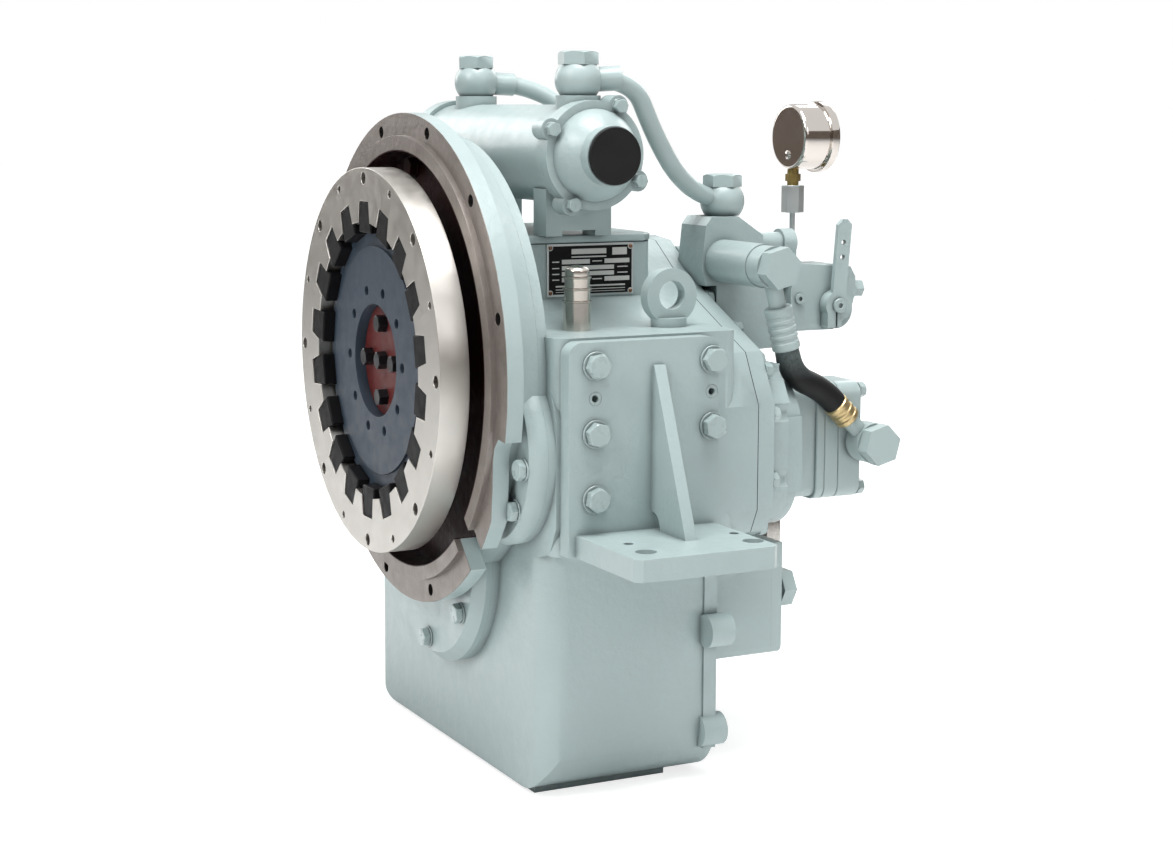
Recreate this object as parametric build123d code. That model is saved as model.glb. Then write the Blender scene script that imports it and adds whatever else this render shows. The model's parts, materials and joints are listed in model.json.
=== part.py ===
from build123d import *
import os
from math import acos, atan2, cos, degrees, hypot, pi, radians, sin, tan

# Marine reversing gearbox. Millimetres, +Z up. The input shaft runs along Y through the origin,
# the origin is the centre of the housing's flange face, and +Y points aft to the output.

# Running and assembly clearances
RUNNING = 0.05
LOOSE = 0.2
SIDE_PLAY = 0.4
GASKET = 0.8

# Shaft layout: the output lies straight below the input, the astern shaft to the right of both
CENTRE_DISTANCE = 180.0
MODULE = 4.0
INPUT_TEETH = 42
ASTERN_TEETH = 35
PINION_TEETH = 30
OUTPUT_TEETH = 60
TRANSFER_DISTANCE = MODULE * (INPUT_TEETH + ASTERN_TEETH) / 2
PINION_DISTANCE = MODULE * (PINION_TEETH + OUTPUT_TEETH) / 2
ASTERN_DROP = (CENTRE_DISTANCE**2 + TRANSFER_DISTANCE**2 - PINION_DISTANCE**2) / (2 * CENTRE_DISTANCE)
ASTERN_SIDE = (TRANSFER_DISTANCE**2 - ASTERN_DROP**2) ** 0.5
INPUT_AXIS = (0.0, 0.0)
ASTERN_AXIS = (ASTERN_SIDE, -ASTERN_DROP)
OUTPUT_AXIS = (0.0, -CENTRE_DISTANCE)
BACKLASH = 0.4
PRESSURE_ANGLE = 20.0

# Bell housing with its standard engine flange
FLANGE_RADIUS = 225.4
FLANGE_THICKNESS = 15.5
FLANGE_PCD = 428.6
FLANGE_HOLE_RADIUS = 5.5
SPIGOT_RADIUS = 204.8
SPIGOT_DEPTH = 5.5
BELL_BORE = 191.0
BELL_WALL = 14.0
BELL_FLOOR = 24.0
BELL_REAR = 39.0
BELL_SEAL_BORE = 46.0
ASTERN_LOBE_RADIUS = 85.0
ASTERN_LOBE_FACE = 80.0
OUTPUT_LOBE_RADIUS = 108.0
OUTPUT_LOBE_FACE = 99.0
LOBE_RISE = 1.0
LOBE_BEVEL = 10.0

# Main case
CASE_FRONT = 46.0
CASE_WALL = 12.0
CASE_REAR = 245.0
SUMP_HALF_WIDTH = 200.0
SUMP_REAR = 218.0
SUMP_BOTTOM = -371.0
SUMP_TOP = -140.0
SUMP_SIDE_RADIUS = 25.0
SUMP_BOTTOM_RADIUS = 45.0
PAD_SETBACK = 1.4
PAD_HALF_WIDTH = FLANGE_RADIUS - PAD_SETBACK
PAD_TOP = 38.0
SHOULDER_TOP = 108.0
PAD_BOTTOM = -150.0
PAD_REAR = 225.0
PAD_INNER = 100.0
PAD_CORNER = 14.0
TURRET_HALF_WIDTH = 100.0
TURRET_FRONT = 50.0
TURRET_REAR = 205.0
TURRET_TOP = 109.0
TURRET_CORNER = 12.0
COVER_THICKNESS = 7.2
FOOT_STRIP = 4.0
FOOT_STRIP_INNER = 130.0
FOOT_STRIP_OUTER = 166.0
OUTPUT_LOBE_CASE = 140.0
OUTPUT_LOBE_CAVITY = 127.0
ASTERN_CAVITY = 78.0
FRONT_BOSS_END = 70.0
RIM_WIDTH = 13.0
RIM_BOTTOM = -345.0
RIM_TOP = -155.0
RIM_BOSSES = ((208.0, -234.0), (196.0, -329.0))
RIM_BOSS_RADIUS = 15.0
RIM_BOSS_RISE = 8.0
RETURN_BOSS_X = -44.0
RETURN_BOSS_Y = 226.0
RETURN_BOSS_RADIUS = 16.0
RETURN_BOSS_TOP = 112.0
RETURN_DEPTH = 12.0

# Rear cover
COVER_STEP = 262.0
COVER_REAR = 285.0
COVER_INSET = 12.0
COVER_CAVITY_END = 268.0
PUMP_PAD = 308.0
PUMP_PAD_RADIUS = 59.0
PUMP_PAD_HEIGHT = 70.0
PUMP_PAD_MIDDLE = 20.0
OUTPUT_BOSS_RADIUS = 76.0
OUTPUT_BOSS_REAR = 300.0
INPUT_BOSS_RADIUS = 57.0
INPUT_BOSS_REAR = 292.0

# Bearings: race outer radius, journal radius and roller radius
RACE_WALL = 6.0
INPUT_RACE = 45.0
INPUT_JOURNAL = 27.0
ASTERN_RACE = 40.0
ASTERN_JOURNAL = 22.0
OUTPUT_FRONT_RACE = 55.0
OUTPUT_FRONT_JOURNAL = 35.0
OUTPUT_REAR_RACE = 58.0
OUTPUT_REAR_JOURNAL = 40.0
FRONT_BEARING_START = 48.0
BEARING_WIDTH = 20.0
REAR_BEARING_START = 249.0
OUTPUT_REAR_BEARING_START = 256.0
OUTPUT_REAR_BEARING_WIDTH = 26.0
ROLLER_COUNT = 9

# Clutches: each drum carries its transfer gear, plates and piston
TRANSFER_START = 78.0
TRANSFER_END = 106.0
DRUM_END = 150.0
DRUM_FLOOR = 98.0
DRUM_WALL = 7.0
INPUT_DRUM_BORE = 63.0
ASTERN_DRUM_BORE = 55.0
INPUT_SHAFT_RADIUS = 30.0
ASTERN_SHAFT_RADIUS = 25.0
PISTON_LENGTH = 9.0
PLATE_THICKNESS = 2.0
PLATE_COUNT = 5
PLATE_STACK_START = 111.0
BACKING_PLATE = 6.0
SNAP_RING = 2.4
SNAP_RING_DEPTH = 2.0
INPUT_HUB_RADIUS = 47.0
ASTERN_HUB_RADIUS = 41.0
PLATE_GRIP = 1.4
PINION_START = 158.0
PINION_END = 228.0
OUTPUT_GEAR_START = 160.0
OUTPUT_GEAR_END = 226.0

# Output shaft and companion flange
OUTPUT_SHAFT_RADIUS = 45.0
OUTPUT_TAIL_RADIUS = 32.0
OUTPUT_TAIL_END = 356.0
COMPANION_HUB_RADIUS = 40.0
COMPANION_HUB_START = 286.0
COMPANION_RADIUS = 78.0
COMPANION_FRONT = 346.0
COMPANION_REAR = 362.0
COMPANION_PCD = 126.0
COMPANION_HOLES = 6
COMPANION_HOLE_RADIUS = 6.25
NUT_RADIUS = 40.0
NUT_START = 345.0
COMPANION_RECESS_RADIUS = 44.0

# Input coupling: ring for the flywheel, rubber blocks, hub disc and shaft flange
RING_RADIUS = 176.2
RING_PCD = 333.4
RING_HOLES = 8
RING_HOLE_RADIUS = 5.5
RING_FRONT = -39.6
RING_THICKNESS = 27.6
BLOCK_COUNT = 18
BLOCK_INNER = 117.0
BLOCK_OUTER = 145.5
BLOCK_INNER_WIDTH = 30.0
BLOCK_OUTER_WIDTH = 23.0
RING_BORE = 127.0
HUB_RADIUS = 123.0
HUB_STEP_RADIUS = 105.0
HUB_STEP = 3.0
HUB_FRONT = -27.0
HUB_BACK = -12.0
HUB_OPENING = 52.0
HUB_HOLE_CIRCLE = 66.0
HUB_HOLE_RADIUS = 4.6
HUB_HOLES = 10
SHAFT_FLANGE_FACE = -20.0
SHAFT_FLANGE_RADIUS = 80.0
SHAFT_FLANGE_THICKNESS = 10.0
SHAFT_FLANGE_BOSS = 40.0
SHAFT_FLANGE_END = 44.0
SHAFT_FLANGE_FLOOR = -14.0
INPUT_TAPER_RADIUS = 22.0
HUB_BOLT_CIRCLE = 34.0
HUB_BOLT_WIDTH = 17.0
HUB_BOLT_HEIGHT = 9.0

# Side brackets
BRACKET_PLATE = 16.0
BRACKET_FRONT = 50.0
BRACKET_REAR = 195.0
BRACKET_TOP = 36.0
BRACKET_BOTTOM = -147.0
BRACKET_CORNER = 12.0
FOOT_FRONT = 57.0
FOOT_REAR = 192.0
FOOT_TOP = -128.0
FOOT_REACH = 350.0
FOOT_CORNER = 6.0
GUSSET_THICKNESS = 11.0
GUSSET_MIDDLE = 135.0
GUSSET_TOP = 14.0
GUSSET_REACH = 300.0
GUSSET_NOTCH = 13.0
FOOT_HOLE_X = 322.0
FOOT_HOLE_RADIUS = 9.0
FOOT_HOLE_SPACING = 102.0
FOOT_HOLE_MIDDLE = 131.0
JACK_HOLE_X = 287.5
JACK_HOLE_RADIUS = 4.3
BRACKET_BOLT_Y = (75.0, 188.0)
BRACKET_BOLT_Z = (16.0, -42.0, -98.0)
BRACKET_DOWEL_Z = -12.0
BRACKET_BOLT_WIDTH = 24.0
BRACKET_BOLT_HEAD = 10.0
BRACKET_BOLT_RADIUS = 8.0
BRACKET_BOLT_LENGTH = 26.0
DOWEL_RADIUS = 6.0
DOWEL_BORE = 3.0
DOWEL_LENGTH = 30.0

# Small bolts
BELL_BOLT_RADIUS = 6.0
BELL_BOLT_WIDTH = 19.0
BELL_BOLT_HEAD = 7.0
BELL_BOLT_LENGTH = 30.0
COVER_BOLT_RADIUS = 4.0
COVER_BOLT_WIDTH = 13.0
COVER_BOLT_HEAD = 7.0
COVER_BOLT_END = 226.0
COVER_BOLT_EDGE = 7.0

# Oil cooler across the top
COOLER_Y = 122.0
COOLER_Z = 189.0
COOLER_RADIUS = 44.0
COOLER_WALL = 4.0
COOLER_LEFT = -160.0
COOLER_RIGHT = 134.0
COOLER_FLANGE_THICKNESS = 8.0
CAP_FLANGE = 12.0
CAP_WALL = 6.0
CAP_DOME = 29.0
CAP_DOME_RADIUS = 42.0
CAP_LENGTH = 48.0
PORT_RADIUS = 26.0
PORT_BORE = 20.0
PORT_START = 24.0
PLUG_RADIUS = 25.0
PLUG_THICKNESS = 3.0
EAR_CIRCLE = 48.5
EAR_RADIUS = 9.5
EAR_FIRST_ANGLE = 62.0
EAR_COUNT = 4
CAP_BOLT_WIDTH = 11.0
CAP_BOLT_HEAD = 6.0
CAP_BOLT_RADIUS = 3.0
SADDLE_HALF_LENGTH = 13.0
SADDLE_FRONT = 88.0
SADDLE_REAR = 153.0
SADDLE_SLOT_FRONT = 104.0
SADDLE_SLOT_REAR = 137.0
SADDLE_SLOT_HEIGHT = 5.0
SADDLE_X = (-86.0, 104.0)
TUBE_RADIUS = 4.0
TUBE_RINGS = 6
TUBE_CIRCLE = 22.0
TUBE_PLATE = 5.0

# Banjo unions and pipes: boss, ball and hexagon
BANJO_X = (-112.0, 112.0)
BANJO_BOSS_RADIUS = 20.0
BANJO_BOSS_TOP = 241.0
BANJO_BALL_RADIUS = 21.0
BANJO_BALL_HEIGHT = 27.0
BANJO_HEX_WIDTH = 32.0
BANJO_HEX_HEIGHT = 12.0
BANJO_STEM_RADIUS = 11.0
PIPE_RADIUS = 8.5
PIPE_SOCKET_RADIUS = 11.0
PIPE_SOCKET = 38.0

# Control valve on the rear cover
VALVE_LEFT = 56.0
VALVE_RIGHT = 102.0
VALVE_FRONT = 260.0
VALVE_LOWER_FRONT = 272.0
VALVE_STEP_Z = 66.0
VALVE_CLEARANCE = 2.0
VALVE_FOOT_REAR = 342.0
VALVE_TOP = 130.0
VALVE_SLOPE_START = 295.0
VALVE_REAR = 322.0
VALVE_SLOPE_END = 112.0
VALVE_BOTTOM = 2.0
VALVE_BANJO_Y = 291.0
VALVE_BANJO_X = 78.0
HOSE_BOSS_RADIUS = 20.0
HOSE_BOSS_Y = 279.0
HOSE_BOSS_Z = 89.0
HOSE_X = 184.0
SELECTOR_FRONT = 352.0
SELECTOR_REAR = 424.0
SELECTOR_BOTTOM = 20.0
SELECTOR_TOP = 82.0
SELECTOR_LEFT = 56.0
SELECTOR_PLATE = 5.0
SELECTOR_Y = 397.0
SELECTOR_Z = 44.0
SELECTOR_BORE = 17.0
SELECTOR_SCREWS = ((360.0, 51.0), (411.0, 75.0))
SELECTOR_SCREW_RADIUS = 3.0
SELECTOR_SCREW_HEAD = 5.0
SELECTOR_SCREW_SOCKET = 4.0
SELECTOR_SCREW_LENGTH = 16.0
SIDE_PLUG_Z = 56.0
SIDE_PLUG_RADIUS = 10.0
SIDE_PLUG_NECK = 14.0
SIDE_PLUG_WIDTH = 15.0
SIDE_PLUG_HEAD = 10.0
NECK_Z = 74.0
NECK_RADIUS = 20.0
CAP_Z = 104.0
CAP_RADIUS = 10.0
SPOOL_STEM_RADIUS = 6.0
SPOOL_STEM_REACH = 14.0
LEVER_THICKNESS = 5.0
LEVER_TOP = 126.0
LEVER_WIDTH = 15.0
LEVER_HUB_RADIUS = 14.0
LEVER_LEAN = 6.0
LEVER_HOLE_RADIUS = 2.6

# Pressure gauge
GAUGE_X = 72.0
GAUGE_FRONT = 367.0
GAUGE_Z = 203.0
GAUGE_RADIUS = 31.0
GAUGE_BEZEL = 34.0
GAUGE_BEZEL_WIDTH = 9.0
GAUGE_DEPTH = 38.0
GAUGE_WALL = 1.5
GAUGE_STEM_Y = 373.0
NEEDLE_LENGTH = 22.0
GAUGE_TUBE_RADIUS = 2.6
GAUGE_NUT_WIDTH = 19.0

# Gear pump on the astern shaft
PUMP_MODULE = 3.0
PUMP_TEETH = 12
PUMP_ADDENDUM = 0.8
PUMP_DISTANCE = PUMP_MODULE * PUMP_TEETH
PUMP_RADIUS = 31.0
PUMP_TOP_REACH = 43.0
PUMP_CORNER = 13.0
PUMP_WAIST = 3.0
PUMP_LIP = 9.0
PUMP_EDGE = 1.0
PUMP_BOLT_EDGE = 9.0
PUMP_BOLT_DEPTH = 10.0
PUMP_PLATE_START = 351.0
PUMP_PLATE_END = 366.0
PUMP_REAR = 391.0
PUMP_SHAFT = 9.0
PUMP_SHAFT_START = 300.0
PUMP_SHAFT_END = 380.0
PUMP_TIP_CLEARANCE = 0.15
PUMP_PORT_Y = 391.0
PUMP_PORT_Z = -78.5
PUMP_PORT_RADIUS = 17.0

# Hose between valve and pump
HOSE_RADIUS = 9.5
FERRULE_RADIUS = 13.0
UNION_RADIUS = 19.0
UNION_WIDTH = 20.0
UNION_HEX_WIDTH = 34.0
UNION_HEX_HEIGHT = 14.0
UNION_STEM_RADIUS = 8.0
UPPER_UNION_LEAN = 14.5
UPPER_STUB = 38.0
UPPER_FERRULE = 40.0
LOWER_UNION_LEAN = 45.0
LOWER_STUB = 33.0
LOWER_FERRULE = 22.0

# Oil strainer at the rear of the sump
STRAINER_INNER = 142.0
STRAINER_OUTER = 182.0
STRAINER_TOP = -166.0
STRAINER_BOTTOM = -271.0
STRAINER_REAR = 288.0
STRAINER_CORNER = 8.0
STRAINER_LID = 11.0
STRAINER_BORE = 15.0
STRAINER_Z = -213.0
STRAINER_PLUG_WIDTH = 32.0
STRAINER_PLUG_HEIGHT = 13.0
STRAINER_PLUG_NECK = 13.0
STRAINER_SCREEN_WALL = 1.5

# Lifting eye, breather and dipstick on the pads
EYE_Y = 185.0
EYE_X = 167.0
EYE_BASE = 8.0
EYE_BASE_RADIUS = 16.0
EYE_OUTER = 25.0
EYE_INNER = 13.0
EYE_THICKNESS = 13.0
BREATHER_X = 163.0
BREATHER_Y = 96.0
BREATHER_RADIUS = 12.0
BREATHER_HEIGHT = 57.0
BREATHER_GROOVES = 3
BREATHER_BORE = 7.0
DIPSTICK_X = -165.0
DIPSTICK_Y = 96.0
DIPSTICK_RADIUS = 3.0
DIPSTICK_END = -340.0
DIPSTICK_CAP = 13.0
DRAIN_X = 60.0
DRAIN_Z = -345.0


def bar_x(sketch, start, end):
    """Extrude a sketch drawn with y to the right and z up, from start to end along X."""
    return extrude(Plane.YZ.offset(start) * sketch, amount=end - start, dir=(1, 0, 0))


def bar_y(sketch, start, end):
    """Extrude a sketch drawn with x to the right and z up, from start to end along Y."""
    return extrude(Plane.XZ.offset(-start) * sketch, amount=end - start, dir=(0, 1, 0))


def bar_z(sketch, start, end):
    """Extrude a sketch drawn with x to the right and y up, from start to end along Z."""
    return extrude(Plane.XY.offset(start) * sketch, amount=end - start, dir=(0, 0, 1))


def rod_x(radius, start, end, y, z):
    return bar_x(Pos(y, z) * Circle(radius), start, end)


def rod_y(radius, start, end, at=(0.0, 0.0)):
    return bar_y(Pos(*at) * Circle(radius), start, end)


def rod_z(radius, start, end, x, y):
    return bar_z(Pos(x, y) * Circle(radius), start, end)


def ring_y(outer, inner, start, end, at=(0.0, 0.0)):
    return bar_y(Pos(*at) * (Circle(outer) - Circle(inner)), start, end)


def hexagon(width):
    """A hexagon by its width across flats."""
    return RegularPolygon(width / 2, 6, major_radius=False)


def block(x, y, z):
    """A box from its lowest and highest values along each axis."""
    low = Vector(x[0], y[0], z[0])
    size = Vector(x[1], y[1], z[1]) - low
    return Pos(*low) * Box(size.X, size.Y, size.Z, align=(Align.MIN,) * 3)


def outline(*points):
    return make_face(Polyline(*points, close=True))


def turned_y(points, at=(0.0, 0.0)):
    """Turn a profile of (radius, y) points about an axis along Y."""
    return Pos(at[0], 0, at[1]) * revolve(outline(*points), Axis.Y)


def turned_x(points, y, z):
    """Turn a profile of (x, radius) points about an axis along X."""
    return Pos(0, y, z) * revolve(outline(*points), Axis.X)


def turned_z(points, x, y):
    """Turn a profile of (radius, z) points about an upright axis."""
    return Pos(x, y, 0) * revolve(Plane.XZ * outline(*points), Axis.Z)


def polar(radius, angle, centre=(0.0, 0.0)):
    """A point at a radius and an angle in degrees from a centre."""
    return (centre[0] + radius * cos(radians(angle)), centre[1] + radius * sin(radians(angle)))


def mirrored(shape):
    """The same piece on the other side of the shaft plane."""
    return mirror(shape, about=Plane.YZ)


def save(node, *solids):
    """Write one node, as a single solid or as a group of separate solids."""
    shape = solids[0] if len(solids) == 1 else Compound(children=list(solids))
    export_step(shape, f"parts/{node}.step")


# Gears

def involute(angle):
    return tan(radians(angle)) - radians(angle)


def gear_outline(module, teeth, phase, addendum=1.0):
    """A spur gear with one tooth on the phase angle and straight flanks between root and tip."""
    pitch = module * teeth / 2
    base = pitch * cos(radians(PRESSURE_ANGLE))
    tip = pitch + addendum * module
    root = pitch - (addendum + 0.25) * module
    half_pitch = pi / (2 * teeth) - BACKLASH / (4 * pitch)

    def half_width(radius):
        pressure = degrees(acos(base / max(radius, base)))
        return degrees(half_pitch + involute(PRESSURE_ANGLE) - involute(pressure))

    points = []
    for tooth in range(teeth):
        centre = phase + 360 * tooth / teeth
        points.append(polar(root, centre - half_width(root)))
        points.append(polar(tip, centre - half_width(tip)))
        points.append(polar(tip, centre + half_width(tip)))
        points.append(polar(root, centre + half_width(root)))
    return outline(*points)


def meshing_phase(phase, teeth, line_angle, other_teeth):
    """Phase of the gear that meshes with a gear of known phase across the line of centres."""
    turn = (phase - line_angle) * teeth / other_teeth
    return line_angle + 180 + 180 / other_teeth - turn


def line_angle(start, end):
    return degrees(atan2(end[1] - start[1], end[0] - start[0]))


INPUT_PHASE = 0.0
ASTERN_PHASE = meshing_phase(INPUT_PHASE, INPUT_TEETH, line_angle(INPUT_AXIS, ASTERN_AXIS), ASTERN_TEETH)
OUTPUT_PHASE = 0.0
AHEAD_LINE = line_angle(OUTPUT_AXIS, INPUT_AXIS)
ASTERN_LINE = line_angle(OUTPUT_AXIS, ASTERN_AXIS)
AHEAD_PINION_PHASE = meshing_phase(OUTPUT_PHASE, OUTPUT_TEETH, AHEAD_LINE, PINION_TEETH)
ASTERN_PINION_PHASE = meshing_phase(OUTPUT_PHASE, OUTPUT_TEETH, ASTERN_LINE, PINION_TEETH)
PUMP_DRIVE_AXIS = ASTERN_AXIS
PUMP_DRIVEN_AXIS = (ASTERN_SIDE, -ASTERN_DROP - PUMP_DISTANCE)
PUMP_DRIVE_PHASE = 0.0
PUMP_DRIVEN_PHASE = meshing_phase(PUMP_DRIVE_PHASE, PUMP_TEETH, -90.0, PUMP_TEETH)


# Outlines shared by the castings

def bell_rear_outline():
    """Round bell with a lobe over the astern bearing and one over the output bearing."""
    shape = Circle(BELL_BORE + BELL_WALL)
    shape += Pos(*ASTERN_AXIS) * Circle(ASTERN_LOBE_RADIUS)
    shape += Pos(*OUTPUT_AXIS) * Circle(OUTPUT_LOBE_RADIUS)
    return shape


def gear_case_outline(inset):
    """Rear outline of the case: shoulders sloping from the top, square sides and the output lobe."""
    shoulder = [
        (0, SHOULDER_TOP),
        (31, SHOULDER_TOP - 3),
        (91, 64),
        (PAD_HALF_WIDTH - 24, 15),
        (PAD_HALF_WIDTH, -30),
        (PAD_HALF_WIDTH, -124),
        (PAD_HALF_WIDTH - 11, -146),
        (PAD_HALF_WIDTH - 34, -155),
    ]
    centre_z = -40.0
    scale_x = (PAD_HALF_WIDTH - inset) / PAD_HALF_WIDTH
    scale_z = (SHOULDER_TOP - centre_z - inset) / (SHOULDER_TOP - centre_z)
    right = [(x * scale_x, centre_z + (z - centre_z) * scale_z) for x, z in shoulder]
    left = [(-x, z) for x, z in reversed(right) if x]
    body = outline(*right, *left)
    return body + Pos(*OUTPUT_AXIS) * Circle(OUTPUT_LOBE_CASE - inset)


def bracket_bolt_places():
    """Bolt places on one pad: two rows, the rear row without its lowest bolt."""
    front, rear = BRACKET_BOLT_Y
    places = [(front, z) for z in BRACKET_BOLT_Z]
    places += [(rear, z) for z in BRACKET_BOLT_Z[:2]]
    return places


def dowel_places():
    return [(y, BRACKET_DOWEL_Z) for y in BRACKET_BOLT_Y]


def bell_bolt_places():
    """Bolts round the two lobes and inside the bell."""
    places = [polar(87.0, angle, OUTPUT_AXIS) for angle in (-33.0, -93.0, -153.0)]
    places += [polar(71.0, angle, ASTERN_AXIS) for angle in (-6.0, -40.0)]
    places += [polar(178.0, angle) for angle in (45.0, 100.0, 150.0, 205.0)]
    return places


def cover_bolt_places():
    """Bolts round the rear joint, in the middle of the case wall."""
    side = PAD_HALF_WIDTH - COVER_BOLT_EDGE
    right = [(40.0, 92.0), (97.0, 54.0), (side - 67, 30.0), (side - 14, -2.0), (side, -40.0)]
    right += [(side, -100.0), (side - 19, -145.5)]
    lobe = (OUTPUT_LOBE_CASE + OUTPUT_LOBE_CAVITY) / 2
    places = [polar(lobe, angle, OUTPUT_AXIS) for angle in (-10.0, -50.0, -90.0, -130.0, -170.0)]
    return right + [(-x, z) for x, z in right] + places


def bolt_y(width, head, radius, face, end, at):
    """A hexagon bolt whose head sits in front of a face and whose shank runs towards end."""
    direction = 1 if end > face else -1
    head_end = face - direction * head
    low, high = sorted((head_end, face))
    shank_low, shank_high = sorted((face, end))
    return bar_y(Pos(*at) * hexagon(width), low, high) + rod_y(radius, shank_low, shank_high, at)


def bolt_x(width, head, radius, face, end, y, z):
    """A hexagon bolt along X, head outboard of a face and shank running towards end."""
    direction = 1 if end > face else -1
    low, high = sorted((face - direction * head, face))
    shank_low, shank_high = sorted((face, end))
    return bar_x(Pos(y, z) * hexagon(width), low, high) + rod_x(radius, shank_low, shank_high, y, z)


# Castings

def flange_reliefs():
    """Cut-outs in the rim of the engine flange, low on each side, with a slot below them."""
    scallop_depth = SPIGOT_RADIUS + 1.0
    outside = FLANGE_RADIUS + 10
    points = [
        polar(outside, -12.0),
        polar(scallop_depth + 6, -12.6),
        polar(scallop_depth, -15.5),
        polar(scallop_depth + 1, -19.0),
        polar(scallop_depth + 8, -24.5),
        polar(FLANGE_RADIUS, -32.0),
        polar(outside, -33.0),
    ]
    scallop = outline(*points)
    slot = outline(
        polar(BELL_BORE - 8, -40.0),
        polar(outside, -41.0),
        polar(outside, -49.0),
        polar(BELL_BORE - 8, -50.0),
    )
    cut = bar_y(scallop, -SPIGOT_DEPTH - 1, FLANGE_THICKNESS + 1)
    cut += bar_y(slot, -SPIGOT_DEPTH - 1, FLANGE_THICKNESS)
    return cut + mirrored(cut)


def bell_housing():
    """Engine flange with spigot, short bell, floor with the two bearing lobes and bolt holes."""
    shape = rod_y(FLANGE_RADIUS, 0, FLANGE_THICKNESS)
    shape += rod_y(SPIGOT_RADIUS, -SPIGOT_DEPTH, 0)
    shape += rod_y(BELL_BORE + BELL_WALL, FLANGE_THICKNESS, BELL_REAR)
    front = BELL_FLOOR - LOBE_RISE
    lobes = (
        (ASTERN_LOBE_FACE, ASTERN_LOBE_RADIUS, ASTERN_AXIS),
        (OUTPUT_LOBE_FACE, OUTPUT_LOBE_RADIUS, OUTPUT_AXIS),
    )
    for face, radius, axis in lobes:
        profile = [
            (0, front),
            (face, front),
            (radius, front + LOBE_BEVEL),
            (radius, BELL_REAR),
            (0, BELL_REAR),
        ]
        shape += turned_y(profile, axis)
    shape -= rod_y(BELL_BORE, -SPIGOT_DEPTH - 1, BELL_FLOOR)
    shape -= flange_reliefs()
    shape -= rod_y(BELL_SEAL_BORE, BELL_FLOOR - 1, BELL_REAR + 1)
    for angle in (15.0, 45.0, 75.0, 105.0, 135.0, 165.0, 255.0, 285.0):
        at = polar(FLANGE_PCD / 2, angle)
        shape -= rod_y(FLANGE_HOLE_RADIUS, -1, FLANGE_THICKNESS + 30, at)
    for at in bell_bolt_places():
        shape -= rod_y(BELL_BOLT_RADIUS + LOOSE, BELL_FLOOR - 2, BELL_REAR + 1, at)
    for axis, journal in ((ASTERN_AXIS, ASTERN_RACE), (OUTPUT_AXIS, OUTPUT_FRONT_RACE)):
        shape -= rod_y(journal - RACE_WALL, BELL_REAR - 5, BELL_REAR + 1, axis)
    return shape


def sump():
    """Outer block of the sump: round bottom corners seen from the front, round upright corners."""
    middle = (CASE_FRONT + SUMP_REAR) / 2
    depth = SUMP_REAR - CASE_FRONT
    height = SUMP_TOP - SUMP_BOTTOM
    front = Pos(0, SUMP_BOTTOM + height / 2) * Rectangle(2 * SUMP_HALF_WIDTH, height)
    front = fillet(front.vertices().sort_by(Axis.Y)[:2], SUMP_BOTTOM_RADIUS)
    plan = Pos(0, middle) * Rectangle(2 * SUMP_HALF_WIDTH, depth)
    plan = fillet(plan.vertices().sort_by(Axis.Y)[:2], SUMP_SIDE_RADIUS)
    return bar_y(front, CASE_FRONT, SUMP_REAR) & bar_z(plan, SUMP_BOTTOM, SUMP_TOP)


def side_pad():
    """Machined pad for the right bracket, flat on top for the breather and the eye."""
    middle = (CASE_FRONT + PAD_REAR) / 2
    width = PAD_HALF_WIDTH - PAD_INNER
    plan = Pos(PAD_INNER + width / 2, middle) * Rectangle(width, PAD_REAR - CASE_FRONT)
    plan = fillet(plan.vertices().sort_by(Axis.X)[-2:], PAD_CORNER)
    return bar_z(plan, PAD_BOTTOM, PAD_TOP)


def turret():
    middle = (TURRET_FRONT + TURRET_REAR) / 2
    plan = Pos(0, middle) * Rectangle(2 * TURRET_HALF_WIDTH, TURRET_REAR - TURRET_FRONT)
    plan = fillet(plan.vertices(), TURRET_CORNER)
    return bar_z(plan, 0, TURRET_TOP)


def case_cavity():
    """Inside of the case: sump, gear train, output lobe and turret."""
    inner_front = CASE_FRONT + CASE_WALL
    half = SUMP_HALF_WIDTH - CASE_WALL
    floor = SUMP_BOTTOM + CASE_WALL
    space = block((-half, half), (inner_front, SUMP_REAR - CASE_WALL), (floor, SUMP_TOP + 1))
    sump_corner = SUMP_BOTTOM_RADIUS - CASE_WALL
    lower_edges = space.edges().filter_by(Axis.Y).sort_by(Axis.Z)[:2]
    space = fillet(lower_edges, sump_corner)
    space += bar_y(gear_case_outline(CASE_WALL), inner_front, CASE_REAR + 1)
    space += rod_y(OUTPUT_LOBE_CAVITY, inner_front, CASE_REAR + 1, OUTPUT_AXIS)
    space += rod_y(ASTERN_CAVITY, inner_front, CASE_REAR + 1, ASTERN_AXIS)
    half_turret = TURRET_HALF_WIDTH - CASE_WALL
    turret_space = block(
        (-half_turret, half_turret),
        (TURRET_FRONT + CASE_WALL, TURRET_REAR - CASE_WALL),
        (0, TURRET_TOP + 1),
    )
    return space + turret_space


def rear_rim():
    """Flange round the rear of the sump with two bolt bosses on each side."""
    rim = block(
        (SUMP_HALF_WIDTH - 2 * RIM_WIDTH, SUMP_HALF_WIDTH + 2),
        (SUMP_REAR - RIM_WIDTH, SUMP_REAR),
        (RIM_BOTTOM, RIM_TOP),
    )
    for at in RIM_BOSSES:
        rim += rod_y(RIM_BOSS_RADIUS, SUMP_REAR - RIM_WIDTH - 3, SUMP_REAR + RIM_BOSS_RISE, at)
    return rim + mirrored(rim)


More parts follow.
